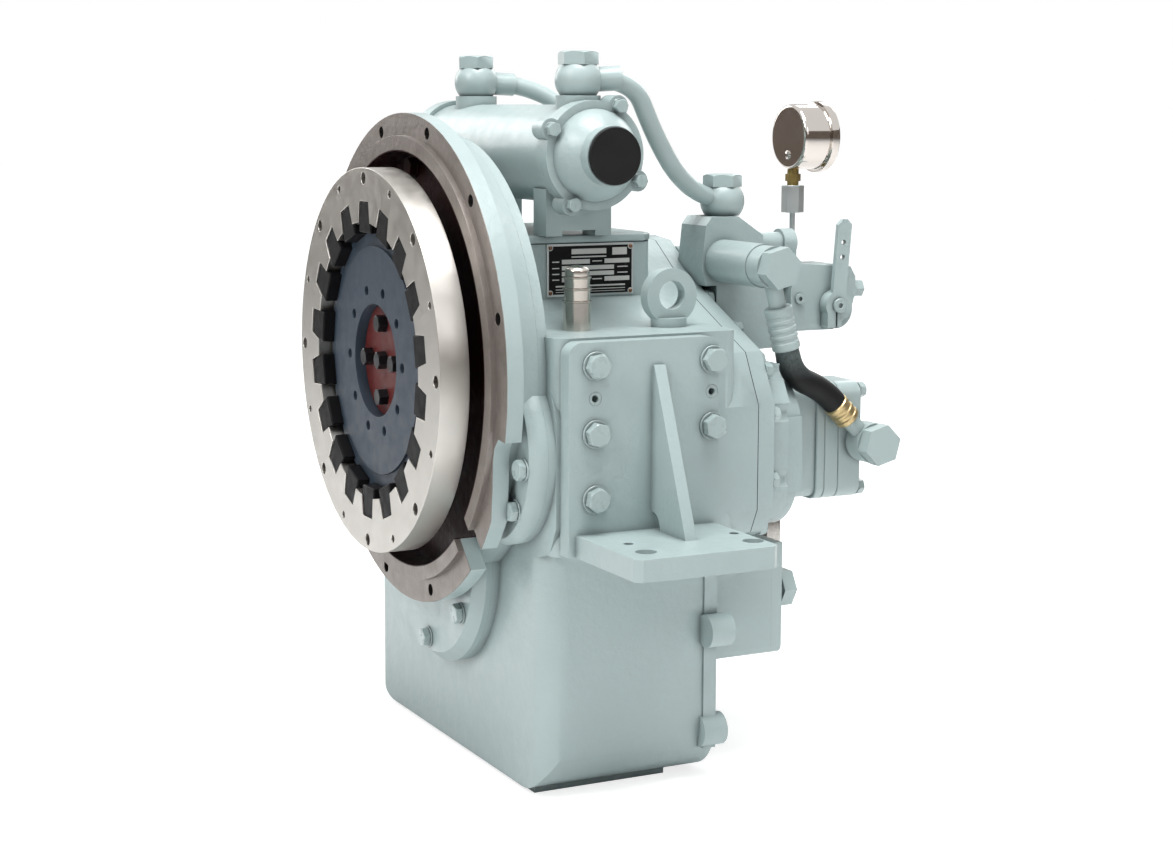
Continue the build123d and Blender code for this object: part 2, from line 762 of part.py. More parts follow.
def gear_case():
    """Main casting: sump, gear chamber, output lobe, turret, pads and front bearing bosses."""
    body = sump()
    body += bar_y(gear_case_outline(0), CASE_FRONT, CASE_REAR)
    body += side_pad() + mirrored(side_pad())
    body += turret()
    body += bar_y(bell_rear_outline(), BELL_REAR, CASE_FRONT + 2)
    body += rear_rim()
    body += rod_z(RETURN_BOSS_RADIUS, 60, RETURN_BOSS_TOP, RETURN_BOSS_X, RETURN_BOSS_Y)
    body -= case_cavity()
    seats = (
        (INPUT_AXIS, INPUT_RACE),
        (ASTERN_AXIS, ASTERN_RACE),
        (OUTPUT_AXIS, OUTPUT_FRONT_RACE),
    )
    for axis, race in seats:
        body += rod_y(race + CASE_WALL, CASE_FRONT, FRONT_BOSS_END, axis)
    for axis, race in seats:
        body -= rod_y(race, BELL_REAR - 1, FRONT_BEARING_START + BEARING_WIDTH, axis)
        body -= rod_y(race - RACE_WALL, BELL_REAR - 1, FRONT_BOSS_END + 1, axis)
    for at in bell_bolt_places():
        body -= rod_y(BELL_BOLT_RADIUS, BELL_REAR - 1, BELL_FLOOR + BELL_BOLT_LENGTH, at)
    for at in cover_bolt_places():
        body -= rod_y(COVER_BOLT_RADIUS, COVER_BOLT_END, CASE_REAR + 1, at)
    for y, z in bracket_bolt_places():
        depth = PAD_HALF_WIDTH + BRACKET_PLATE - BRACKET_BOLT_LENGTH
        hole = rod_x(BRACKET_BOLT_RADIUS, depth, PAD_HALF_WIDTH + 1, y, z)
        body -= hole + mirrored(hole)
    for y, z in dowel_places():
        depth = PAD_HALF_WIDTH + BRACKET_PLATE - DOWEL_LENGTH
        hole = rod_x(DOWEL_RADIUS, depth, PAD_HALF_WIDTH + 1, y, z)
        body -= hole + mirrored(hole)
    strip_height = (SUMP_BOTTOM - FOOT_STRIP, SUMP_BOTTOM + 1)
    strips = block((FOOT_STRIP_INNER, FOOT_STRIP_OUTER), (53, 184), strip_height)
    body += strips + mirrored(strips)
    body -= rod_z(DIPSTICK_RADIUS + 1, 0, PAD_TOP + 1, DIPSTICK_X, DIPSTICK_Y)
    body -= rod_z(BREATHER_BORE, 0, PAD_TOP + 1, BREATHER_X, BREATHER_Y)
    return_end = RETURN_BOSS_TOP - RETURN_DEPTH
    body -= rod_z(PIPE_RADIUS, return_end, RETURN_BOSS_TOP + 1, RETURN_BOSS_X, RETURN_BOSS_Y)
    body -= rod_y(8.0, SUMP_REAR - CASE_WALL - 1, SUMP_REAR + 1, (DRAIN_X, DRAIN_Z))
    body -= rod_y(STRAINER_BORE, SUMP_REAR - CASE_WALL - 1, SUMP_REAR + 1, (strainer_x(), STRAINER_Z))
    return body


def top_cover():
    """Lid of the turret."""
    middle = (TURRET_FRONT + TURRET_REAR) / 2
    length = TURRET_REAR - TURRET_FRONT + 4
    plan = Pos(0, middle) * Rectangle(2 * TURRET_HALF_WIDTH + 4, length)
    plan = chamfer(plan.vertices(), TURRET_CORNER)
    bottom = TURRET_TOP + GASKET
    return bar_z(plan, bottom, bottom + COVER_THICKNESS)


def cover_top():
    return TURRET_TOP + GASKET + COVER_THICKNESS


def rear_cover():
    """Dished rear casting with the rear bearing seats, the pump pad and the valve pad."""
    front = CASE_REAR + GASKET
    shape = bar_y(gear_case_outline(0), front, COVER_STEP)
    shape += bar_y(gear_case_outline(COVER_INSET), COVER_STEP, COVER_REAR)
    shape -= bar_y(gear_case_outline(2 * COVER_INSET), front - 1, COVER_CAVITY_END)
    shape += rod_y(INPUT_BOSS_RADIUS, front + 2, INPUT_BOSS_REAR, INPUT_AXIS)
    shape += rod_y(ASTERN_RACE + CASE_WALL, front + 2, COVER_REAR, ASTERN_AXIS)
    pump_pad = Pos(*ASTERN_AXIS) * Circle(PUMP_PAD_RADIUS)
    pump_pad += Pos(*PUMP_DRIVEN_AXIS) * Circle(PUMP_PAD_RADIUS - 6)
    middle = Pos(*PUMP_DRIVEN_AXIS) * Pos(0, PUMP_PAD_MIDDLE)
    pump_pad += middle * Rectangle(2 * PUMP_PAD_RADIUS, PUMP_PAD_HEIGHT)
    shape += bar_y(pump_pad, COVER_REAR, PUMP_PAD)
    shape += rod_y(OUTPUT_BOSS_RADIUS, front + 2, OUTPUT_BOSS_REAR, OUTPUT_AXIS)
    pad_z = (VALVE_BOTTOM - 20, VALVE_STEP_Z - 4)
    shape += block((VALVE_LEFT, VALVE_RIGHT), (COVER_STEP, VALVE_LOWER_FRONT), pad_z)
    shape -= bar_x(valve_profile(), VALVE_LEFT - VALVE_CLEARANCE, VALVE_RIGHT + VALVE_CLEARANCE)
    outer = PAD_HALF_WIDTH + 1
    shape -= block((VALVE_RIGHT, outer), (VALVE_LOWER_FRONT, COVER_REAR + 1), (VALVE_BOTTOM, SHOULDER_TOP))
    rear = REAR_BEARING_START + BEARING_WIDTH
    shape -= rod_y(INPUT_RACE, front - 1, rear, INPUT_AXIS)
    shape -= rod_y(ASTERN_RACE, front - 1, rear, ASTERN_AXIS)
    shape -= rod_y(PUMP_SHAFT + 6, rear - 1, PUMP_PAD + 1, ASTERN_AXIS)
    output_rear = OUTPUT_REAR_BEARING_START + OUTPUT_REAR_BEARING_WIDTH
    shape -= rod_y(OUTPUT_REAR_RACE, front - 1, output_rear, OUTPUT_AXIS)
    shape -= rod_y(OUTPUT_REAR_RACE - RACE_WALL, output_rear - 1, OUTPUT_BOSS_REAR + 1, OUTPUT_AXIS)
    for at in cover_bolt_places():
        shape -= rod_y(COVER_BOLT_RADIUS + LOOSE, front - 1, COVER_REAR + 1, at)
        shape -= rod_y(COVER_BOLT_WIDTH / 2 + 3, COVER_STEP, COVER_REAR + 1, at)
    return without_pump_bolts(shape, PUMP_PAD - PUMP_BOLT_DEPTH)


def housing_gaskets():
    """Thin gaskets under the turret lid and between case and rear cover."""
    rear = bar_y(gear_case_outline(0), CASE_REAR, CASE_REAR + GASKET)
    rear -= bar_y(gear_case_outline(CASE_WALL), CASE_REAR - 1, CASE_REAR + 2)
    rear -= rod_y(OUTPUT_LOBE_CAVITY, CASE_REAR - 1, CASE_REAR + 2, OUTPUT_AXIS)
    rear -= rod_y(ASTERN_CAVITY, CASE_REAR - 1, CASE_REAR + 2, ASTERN_AXIS)
    for at in cover_bolt_places():
        rear -= rod_y(COVER_BOLT_RADIUS + LOOSE, CASE_REAR - 1, CASE_REAR + 2, at)
    middle = (TURRET_FRONT + TURRET_REAR) / 2
    length = TURRET_REAR - TURRET_FRONT
    lid = Rectangle(2 * TURRET_HALF_WIDTH, length)
    lid = fillet(lid.vertices(), TURRET_CORNER)
    lid -= Rectangle(2 * (TURRET_HALF_WIDTH - CASE_WALL), length - 2 * CASE_WALL)
    return [rear, bar_z(Pos(0, middle) * lid, TURRET_TOP, TURRET_TOP + GASKET)]


# Brackets

def side_bracket():
    """Right mounting bracket: bolted plate, foot with its holes and one gusset."""
    outer = PAD_HALF_WIDTH + BRACKET_PLATE
    width = BRACKET_REAR - BRACKET_FRONT
    height = BRACKET_TOP - BRACKET_BOTTOM
    middle = ((BRACKET_FRONT + BRACKET_REAR) / 2, (BRACKET_TOP + BRACKET_BOTTOM) / 2)
    plate = Pos(*middle) * Rectangle(width, height)
    plate = fillet(plate.vertices().sort_by(Axis.Y)[-2:], BRACKET_CORNER)
    shape = bar_x(plate, PAD_HALF_WIDTH, outer)
    foot_middle = ((PAD_HALF_WIDTH + FOOT_REACH) / 2, (FOOT_FRONT + FOOT_REAR) / 2)
    foot = Pos(*foot_middle) * Rectangle(FOOT_REACH - PAD_HALF_WIDTH, FOOT_REAR - FOOT_FRONT)
    foot = chamfer(foot.vertices().sort_by(Axis.X)[-2:], FOOT_CORNER)
    shape += bar_z(foot, BRACKET_BOTTOM, FOOT_TOP)
    web = Plane.XZ * outline(
        (outer - 1, GUSSET_TOP),
        (outer + 3, GUSSET_TOP),
        (GUSSET_REACH, FOOT_TOP),
        (GUSSET_REACH, FOOT_TOP - 1),
        (outer - 1, FOOT_TOP - 1),
    )
    start = GUSSET_MIDDLE - GUSSET_THICKNESS / 2
    gusset = Pos(0, start, 0) * extrude(web, amount=GUSSET_THICKNESS, dir=(0, 1, 0))
    gusset -= rod_y(GUSSET_NOTCH, start - 1, start + GUSSET_THICKNESS + 1, (outer + 2, FOOT_TOP + 2))
    shape += gusset
    for y, z in bracket_bolt_places():
        shape -= rod_x(BRACKET_BOLT_RADIUS + LOOSE, PAD_HALF_WIDTH - 1, outer + 1, y, z)
    for y, z in dowel_places():
        shape -= rod_x(DOWEL_RADIUS, PAD_HALF_WIDTH - 1, outer + 1, y, z)
    for side in (-1, 1):
        y = FOOT_HOLE_MIDDLE + side * FOOT_HOLE_SPACING / 2
        shape -= rod_z(FOOT_HOLE_RADIUS, BRACKET_BOTTOM - 1, FOOT_TOP + 1, FOOT_HOLE_X, y)
        shape -= rod_z(JACK_HOLE_RADIUS, BRACKET_BOTTOM - 1, FOOT_TOP + 1, JACK_HOLE_X, y + 2)
    return shape


def bracket_fasteners():
    """Bolts and hollow dowels of both brackets."""
    outer = PAD_HALF_WIDTH + BRACKET_PLATE
    pieces = []
    for y, z in bracket_bolt_places():
        end = outer - BRACKET_BOLT_LENGTH
        pieces.append(bolt_x(BRACKET_BOLT_WIDTH, BRACKET_BOLT_HEAD, BRACKET_BOLT_RADIUS, outer, end, y, z))
    for y, z in dowel_places():
        sleeve = Pos(y, z) * (Circle(DOWEL_RADIUS) - Circle(DOWEL_BORE))
        pieces.append(bar_x(sleeve, outer - DOWEL_LENGTH, outer))
    return pieces + [mirrored(piece) for piece in pieces]


# Input coupling

def block_outline(grow=0.0):
    """One rubber block seen along the shaft, wider at its inner end."""
    inner = BLOCK_INNER_WIDTH / 2 + grow
    outer = BLOCK_OUTER_WIDTH / 2 + grow
    return outline(
        (BLOCK_INNER - grow, -inner),
        (BLOCK_OUTER + grow, -outer),
        (BLOCK_OUTER + grow, outer),
        (BLOCK_INNER - grow, inner),
    )


def block_angles():
    return [90.0 + 360.0 * k / BLOCK_COUNT for k in range(BLOCK_COUNT)]


def coupling_ring():
    """Aluminium ring that bolts to the flywheel, with a pocket for each rubber block."""
    shape = Circle(RING_RADIUS) - Circle(RING_BORE)
    for angle in block_angles():
        shape -= Rot(0, 0, angle) * block_outline(LOOSE)
    for k in range(RING_HOLES):
        at = polar(RING_PCD / 2, 90 + 360 * k / RING_HOLES)
        shape -= Pos(*at) * Circle(RING_HOLE_RADIUS)
    return bar_y(shape, RING_FRONT, RING_FRONT + RING_THICKNESS)


def coupling_blocks():
    start = RING_FRONT + 1
    end = RING_FRONT + RING_THICKNESS - 1
    return [bar_y(Rot(0, 0, angle) * block_outline(), start, end) for angle in block_angles()]


def coupling_hub():
    """Hub disc inside the blocks, raised towards the middle and open at its centre."""
    rim = Circle(HUB_RADIUS)
    for angle in block_angles():
        rim -= Rot(0, 0, angle) * block_outline(LOOSE)
    shape = bar_y(rim, HUB_FRONT, HUB_BACK)
    shape += rod_y(HUB_STEP_RADIUS, HUB_FRONT - HUB_STEP, HUB_FRONT)
    shape -= rod_y(HUB_OPENING, HUB_FRONT - HUB_STEP - 1, HUB_BACK + 1)
    for k in range(HUB_HOLES):
        at = polar(HUB_HOLE_CIRCLE, 72 + 360 * k / HUB_HOLES)
        shape -= rod_y(HUB_HOLE_RADIUS, HUB_FRONT - HUB_STEP - 1, HUB_BACK + 1, at)
    return shape


def shaft_flange():
    """Flange on the front end of the input shaft that carries the hub disc."""
    shape = rod_y(HUB_OPENING, SHAFT_FLANGE_FACE, HUB_BACK)
    shape += rod_y(SHAFT_FLANGE_RADIUS, HUB_BACK, HUB_BACK + SHAFT_FLANGE_THICKNESS)
    shape += rod_y(SHAFT_FLANGE_BOSS, HUB_BACK, SHAFT_FLANGE_END)
    shape -= rod_y(INPUT_TAPER_RADIUS, SHAFT_FLANGE_FLOOR, SHAFT_FLANGE_END + 1)
    return shape


def hub_bolts():
    """Five black bolts in a cross on the shaft flange."""
    places = [(0.0, 0.0)] + [polar(HUB_BOLT_CIRCLE, angle) for angle in (0, 90, 180, 270)]
    top = SHAFT_FLANGE_FACE - HUB_BOLT_HEIGHT
    return [bar_y(Pos(*at) * hexagon(HUB_BOLT_WIDTH), top, SHAFT_FLANGE_FACE) for at in places]


# Shafts, clutches and gears

def input_shaft():
    rear = REAR_BEARING_START + BEARING_WIDTH
    return turned_y([
        (0, SHAFT_FLANGE_FLOOR),
        (INPUT_TAPER_RADIUS, SHAFT_FLANGE_FLOOR),
        (INPUT_TAPER_RADIUS, SHAFT_FLANGE_END),
        (INPUT_JOURNAL, SHAFT_FLANGE_END),
        (INPUT_JOURNAL, FRONT_BOSS_END + 4),
        (INPUT_SHAFT_RADIUS, FRONT_BOSS_END + 4),
        (INPUT_SHAFT_RADIUS, REAR_BEARING_START - 3),
        (INPUT_JOURNAL, REAR_BEARING_START - 3),
        (INPUT_JOURNAL, rear),
        (0, rear),
    ])


def astern_shaft():
    """Astern shaft with a slotted rear end that drives the pump."""
    rear = REAR_BEARING_START + BEARING_WIDTH
    shape = turned_y([
        (0, FRONT_BEARING_START),
        (ASTERN_JOURNAL, FRONT_BEARING_START),
        (ASTERN_JOURNAL, FRONT_BOSS_END + 4),
        (ASTERN_SHAFT_RADIUS, FRONT_BOSS_END + 4),
        (ASTERN_SHAFT_RADIUS, REAR_BEARING_START - 3),
        (ASTERN_JOURNAL, REAR_BEARING_START - 3),
        (ASTERN_JOURNAL, rear),
        (PUMP_SHAFT + 3, rear),
        (PUMP_SHAFT + 3, PUMP_SHAFT_START + 10),
        (0, PUMP_SHAFT_START + 10),
    ], ASTERN_AXIS)
    x, z = ASTERN_AXIS
    slot = block((x - 4, x + 4), (PUMP_SHAFT_START, PUMP_SHAFT_START + 11), (z - 20, z + 20))
    return shape - slot


def clutch_drum(teeth, phase, bore, shaft_radius, axis):
    """Transfer gear and clutch drum in one piece, with the groove for the snap ring."""
    gear = gear_outline(MODULE, teeth, phase)
    shape = bar_y(Pos(*axis) * gear, TRANSFER_START, TRANSFER_END)
    shape += rod_y(bore + DRUM_WALL, TRANSFER_END, DRUM_END, axis)
    shape -= rod_y(bore, DRUM_FLOOR, DRUM_END + 1, axis)
    groove = snap_ring_start()
    shape -= ring_y(bore + SNAP_RING_DEPTH, bore - 1, groove, groove + SNAP_RING, axis)
    return shape - rod_y(shaft_radius, TRANSFER_START - 1, DRUM_FLOOR + 1, axis)


def plate_pitch():
    """Distance from one steel plate to the next, with a friction plate between them."""
    return 2 * (PLATE_THICKNESS + SIDE_PLAY)


def backing_start():
    return PLATE_STACK_START + PLATE_COUNT * plate_pitch()


def snap_ring_start():
    return backing_start() + BACKING_PLATE


def steel_plates(bore, hub, axis):
    """Outer plates held by the drum, the thick backing plate and its snap ring."""
    inner = hub + PLATE_GRIP
    plates = []
    for k in range(PLATE_COUNT):
        start = PLATE_STACK_START + k * plate_pitch()
        plates.append(ring_y(bore, inner, start, start + PLATE_THICKNESS, axis))
    plates.append(ring_y(bore, inner, backing_start(), snap_ring_start(), axis))
    groove = snap_ring_start()
    plates.append(ring_y(bore + SNAP_RING_DEPTH, bore - 4, groove, groove + SNAP_RING, axis))
    return plates


def friction_plates(bore, hub, axis):
    """Inner plates carried by the pinion's hub."""
    plates = []
    for k in range(PLATE_COUNT):
        start = PLATE_STACK_START + PLATE_THICKNESS + SIDE_PLAY + k * plate_pitch()
        plates.append(ring_y(bore - PLATE_GRIP, hub, start, start + PLATE_THICKNESS, axis))
    return plates


def clutch_piston(bore, shaft_radius, axis):
    start = DRUM_FLOOR + SIDE_PLAY / 2
    return ring_y(bore - RUNNING, shaft_radius + RUNNING, start, start + PISTON_LENGTH, axis)


def pinion(phase, hub, shaft_radius, axis):
    """Pinion that turns freely on its shaft, with the clutch hub on its front end."""
    gear = gear_outline(MODULE, PINION_TEETH, phase)
    shape = bar_y(Pos(*axis) * gear, PINION_START, PINION_END)
    shape += rod_y(hub, PLATE_STACK_START, PINION_START, axis)
    return shape - rod_y(shaft_radius + RUNNING, PLATE_STACK_START - 1, PINION_END + 1, axis)


def output_shaft():
    rear = OUTPUT_REAR_BEARING_START + OUTPUT_REAR_BEARING_WIDTH
    return turned_y([
        (0, FRONT_BEARING_START),
        (OUTPUT_FRONT_JOURNAL, FRONT_BEARING_START),
        (OUTPUT_FRONT_JOURNAL, FRONT_BOSS_END + 4),
        (OUTPUT_SHAFT_RADIUS, FRONT_BOSS_END + 4),
        (OUTPUT_SHAFT_RADIUS, OUTPUT_REAR_BEARING_START - 4),
        (OUTPUT_REAR_JOURNAL, OUTPUT_REAR_BEARING_START - 4),
        (OUTPUT_REAR_JOURNAL, rear + 2),
        (OUTPUT_TAIL_RADIUS, rear + 2),
        (OUTPUT_TAIL_RADIUS, OUTPUT_TAIL_END),
        (0, OUTPUT_TAIL_END),
    ], OUTPUT_AXIS)


def output_gear():
    """Large output gear with a web thinned between rim and hub."""
    first, last = OUTPUT_GEAR_START, OUTPUT_GEAR_END
    teeth = gear_outline(MODULE, OUTPUT_TEETH, OUTPUT_PHASE)
    shape = bar_y(Pos(*OUTPUT_AXIS) * teeth, first, last)
    for start, end in ((first - 1, first + 20), (last - 20, last + 1)):
        shape -= ring_y(100.0, 65.0, start, end, OUTPUT_AXIS)
    return shape - rod_y(OUTPUT_SHAFT_RADIUS, OUTPUT_GEAR_START - 1, OUTPUT_GEAR_END + 1, OUTPUT_AXIS)


def output_flange():
    """Companion flange for the propeller shaft, recessed for its nut."""
    shape = rod_y(COMPANION_HUB_RADIUS, COMPANION_HUB_START, COMPANION_REAR, OUTPUT_AXIS)
    shape += rod_y(COMPANION_RADIUS, COMPANION_FRONT, COMPANION_REAR, OUTPUT_AXIS)
    shape += turned_y([
        (COMPANION_HUB_RADIUS - 5, OUTPUT_BOSS_REAR + 4),
        (COMPANION_HUB_RADIUS + 3, OUTPUT_BOSS_REAR + 4),
        (COMPANION_HUB_RADIUS + 12, COMPANION_FRONT),
        (COMPANION_HUB_RADIUS - 5, COMPANION_FRONT),
    ], OUTPUT_AXIS)
    shape -= rod_y(OUTPUT_TAIL_RADIUS, COMPANION_HUB_START - 1, COMPANION_REAR + 1, OUTPUT_AXIS)
    shape -= rod_y(COMPANION_RECESS_RADIUS, NUT_START, COMPANION_REAR + 1, OUTPUT_AXIS)
    for k in range(COMPANION_HOLES):
        at = polar(COMPANION_PCD / 2, 90 + 360 * k / COMPANION_HOLES, OUTPUT_AXIS)
        shape -= rod_y(COMPANION_HOLE_RADIUS, COMPANION_FRONT - 1, COMPANION_REAR + 1, at)
    return shape


def output_nut():
    sketch = RegularPolygon(NUT_RADIUS, 6) - Circle(OUTPUT_TAIL_RADIUS)
    return bar_y(Pos(*OUTPUT_AXIS) * sketch, NUT_START, OUTPUT_TAIL_END)


def bearings():
    """Race radius, journal radius, start, width and axis of each roller bearing."""
    return (
        (INPUT_RACE, INPUT_JOURNAL, FRONT_BEARING_START, BEARING_WIDTH, INPUT_AXIS),
        (INPUT_RACE, INPUT_JOURNAL, REAR_BEARING_START, BEARING_WIDTH, INPUT_AXIS),
        (ASTERN_RACE, ASTERN_JOURNAL, FRONT_BEARING_START, BEARING_WIDTH, ASTERN_AXIS),
        (ASTERN_RACE, ASTERN_JOURNAL, REAR_BEARING_START, BEARING_WIDTH, ASTERN_AXIS),
        (OUTPUT_FRONT_RACE, OUTPUT_FRONT_JOURNAL, FRONT_BEARING_START, BEARING_WIDTH, OUTPUT_AXIS),
        (
            OUTPUT_REAR_RACE,
            OUTPUT_REAR_JOURNAL,
            OUTPUT_REAR_BEARING_START,
            OUTPUT_REAR_BEARING_WIDTH,
            OUTPUT_AXIS,
        ),
    )


def bearing_races():
    return [
        ring_y(race, race - RACE_WALL, start, start + width, axis)
        for race, _, start, width, axis in bearings()
    ]


def bearing_rollers():
    """Short rollers between race and journal."""
    rollers = []
    for race, journal, start, width, axis in bearings():
        space = race - RACE_WALL - journal
        radius = space / 2 - RUNNING
        for k in range(ROLLER_COUNT):
            at = polar(journal + space / 2, 360 * k / ROLLER_COUNT, axis)
            rollers.append(rod_y(radius, start + 2, start + width - 2, at))
    return rollers


def shaft_seals():
    """Lip seals at the input and the output."""
    front = ring_y(BELL_SEAL_BORE, SHAFT_FLANGE_BOSS + RUNNING, BELL_FLOOR + 3, BELL_FLOOR + 13)
    start = OUTPUT_BOSS_REAR - 14
    outer = OUTPUT_REAR_RACE - RACE_WALL
    rear = ring_y(outer, COMPANION_HUB_RADIUS + RUNNING, start, start + 12, OUTPUT_AXIS)
    return [front, rear]


# Gear pump

def pump_outline(inset=0.0):
    """Upright oblong with rounded corners round both pump gears."""
    x, top = PUMP_DRIVE_AXIS[0], PUMP_DRIVE_AXIS[1] + PUMP_TOP_REACH
    bottom = PUMP_DRIVEN_AXIS[1] - PUMP_RADIUS
    oblong = Rectangle(2 * (PUMP_RADIUS - inset), top - bottom - 2 * inset)
    return Pos(x, (top + bottom) / 2) * fillet(oblong.vertices(), PUMP_CORNER - inset)


def edged(sketch, start, end, edge):
    """A bar along Y with both ends' edges broken."""
    shape = bar_y(sketch, start, end)
    rims = shape.edges().group_by(Axis.Y)
    return chamfer(rims[0] + rims[-1], edge)


def pump_bolt_places():
    """Four bolts near the corners of the pump."""
    x, top = PUMP_DRIVE_AXIS[0], PUMP_DRIVE_AXIS[1] + PUMP_TOP_REACH - PUMP_BOLT_EDGE
    bottom = PUMP_DRIVEN_AXIS[1] - PUMP_RADIUS + PUMP_BOLT_EDGE
    reach = PUMP_RADIUS - PUMP_BOLT_EDGE
    return [(x + side * reach, z) for side in (-1, 1) for z in (top, bottom)]


def without_pump_bolts(shape, end):
    """The shape with the pump's bolt holes, as deep as end."""
    for at in pump_bolt_places():
        shape -= rod_y(COVER_BOLT_RADIUS, end, PUMP_REAR + 1, at)
    return shape


def pump_bolts():
    end = PUMP_PAD - PUMP_BOLT_DEPTH
    return [
        bolt_y(COVER_BOLT_WIDTH, COVER_BOLT_HEAD, COVER_BOLT_RADIUS, PUMP_REAR, end, at)
        for at in pump_bolt_places()
    ]


def pump_gear(phase, axis, shaft_start):
    gear = gear_outline(PUMP_MODULE, PUMP_TEETH, phase, PUMP_ADDENDUM)
    start = PUMP_PLATE_START + RUNNING
    shape = bar_y(Pos(*axis) * gear, start, PUMP_PLATE_END - RUNNING)
    return shape + rod_y(PUMP_SHAFT, shaft_start, PUMP_SHAFT_END, axis)


def pump_drive_gear():
    """Driving pump gear with the tang that fits the slot of the astern shaft."""
    x, z = PUMP_DRIVE_AXIS
    shape = pump_gear(PUMP_DRIVE_PHASE, PUMP_DRIVE_AXIS, PUMP_SHAFT_START + 10.5)
    half = 4 - LOOSE
    tang = block((x - half, x + half), (PUMP_SHAFT_START + LOOSE, PUMP_SHAFT_START + 11), (z - 7, z + 7))
    return shape + tang


def pump_body():
    """Front body and gear plate of the pump."""
    front = bar_y(pump_outline(PUMP_WAIST), PUMP_PAD, PUMP_PLATE_START - PUMP_LIP)
    front += edged(pump_outline(), PUMP_PLATE_START - PUMP_LIP, PUMP_PLATE_START, PUMP_EDGE)
    plate = edged(pump_outline(), PUMP_PLATE_START, PUMP_PLATE_END, PUMP_EDGE)
    front -= rod_y(PUMP_SHAFT + 5, PUMP_PAD - 1, PUMP_SHAFT_START + 14, PUMP_DRIVE_AXIS)
    front -= rod_y(PUMP_SHAFT + RUNNING, PUMP_PAD - 1, PUMP_PLATE_START + 1, PUMP_DRIVE_AXIS)
    front -= rod_y(PUMP_SHAFT + RUNNING, PUMP_PLATE_START - 20, PUMP_PLATE_START + 1, PUMP_DRIVEN_AXIS)
    tip = PUMP_MODULE * (PUMP_TEETH / 2 + PUMP_ADDENDUM) + PUMP_TIP_CLEARANCE
    for axis in (PUMP_DRIVE_AXIS, PUMP_DRIVEN_AXIS):
        plate -= rod_y(tip, PUMP_PLATE_START - 1, PUMP_PLATE_END + 1, axis)
    return [without_pump_bolts(front, PUMP_PAD - 1), without_pump_bolts(plate, PUMP_PAD - 1)]


def pump_end_cover():
    """End cover with the pressure port on its right."""
    shape = edged(pump_outline(), PUMP_PLATE_END, PUMP_REAR, PUMP_EDGE)
    side = ASTERN_SIDE + PUMP_RADIUS
    shape += rod_x(PUMP_PORT_RADIUS, ASTERN_SIDE, union_left(), PUMP_PORT_Y, PUMP_PORT_Z)
    shape &= block((0, side + 40), (PUMP_PLATE_END, PUMP_REAR + 20), (-200, 20))
    for axis in (PUMP_DRIVE_AXIS, PUMP_DRIVEN_AXIS):
        shape -= rod_y(PUMP_SHAFT + RUNNING, PUMP_PLATE_END - 1, PUMP_SHAFT_END + LOOSE, axis)
    shape = without_pump_bolts(shape, PUMP_PAD - 1)
    return shape - rod_x(UNION_STEM_RADIUS, union_left() - 10, union_left() + 1, PUMP_PORT_Y, PUMP_PORT_Z)


# Hose

def union_left():
    return HOSE_X - UNION_WIDTH / 2


def union_right():
    return HOSE_X + UNION_WIDTH / 2


def lean(angle):
    """Unit vector in the plane of the hose, from straight down towards aft."""
    return Vector(0, sin(radians(angle)), -cos(radians(angle)))


def upper_union_centre():
    return Vector(HOSE_X, HOSE_BOSS_Y, HOSE_BOSS_Z)


def lower_union_centre():
    return Vector(HOSE_X, PUMP_PORT_Y, PUMP_PORT_Z)


def hose_start():
    return upper_union_centre() + lean(UPPER_UNION_LEAN) * (UPPER_STUB + UPPER_FERRULE)


def hose_end():
    return lower_union_centre() - lean(LOWER_UNION_LEAN) * (LOWER_STUB + LOWER_FERRULE)


def cylinder_between(start, end, radius):
    """A round bar between two points."""
    direction = end - start
    plane = Plane(origin=start, z_dir=direction.normalized())
    return extrude(plane * Circle(radius), amount=direction.length)


def union_body(centre, direction, stub):
    """Banjo union: a ring round the hollow bolt with its stub."""
    ring = rod_x(UNION_RADIUS, union_left(), union_right(), centre.Y, centre.Z)
    shape = ring + cylinder_between(centre, centre + direction * stub, UNION_STEM_RADIUS)
    return shape - rod_x(UNION_STEM_RADIUS, union_left() - 1, union_right() + 1, centre.Y, centre.Z)


def union_bolt(centre, seat):
    """Hollow bolt of a banjo union, from its seat to the hexagon."""
    stem = rod_x(UNION_STEM_RADIUS, seat, union_right(), centre.Y, centre.Z)
    head = Pos(centre.Y, centre.Z) * Rot(0, 0, 15) * hexagon(UNION_HEX_WIDTH)
    return stem + bar_x(head, union_right(), union_right() + UNION_HEX_HEIGHT)


def hose_fittings():
    """Both banjo unions with their bolts."""
    upper = union_body(upper_union_centre(), lean(UPPER_UNION_LEAN), UPPER_STUB)
    lower = union_body(lower_union_centre(), lean(LOWER_UNION_LEAN) * -1, LOWER_STUB)
    bolts = [
        union_bolt(upper_union_centre(), union_left() - 10),
        union_bolt(lower_union_centre(), union_left() - 10),
    ]
    return [upper, lower, *bolts]


def hose_ferrules():
    """Crimped sleeves at both ends of the hose."""
    sleeves = []
    upper_start = upper_union_centre() + lean(UPPER_UNION_LEAN) * UPPER_STUB
    lower_start = lower_union_centre() - lean(LOWER_UNION_LEAN) * LOWER_STUB
    sleeves.append(cylinder_between(upper_start, hose_start(), FERRULE_RADIUS))
    sleeves.append(cylinder_between(lower_start, hose_end(), FERRULE_RADIUS - 1))
    return sleeves


def hose_route():
    """The route's points: straight out of each ferrule, with one easy bend between."""
    first = hose_start() + lean(UPPER_UNION_LEAN) * 26
    last = hose_end() - lean(LOWER_UNION_LEAN) * 20
    return [hose_start(), first, last, hose_end()]


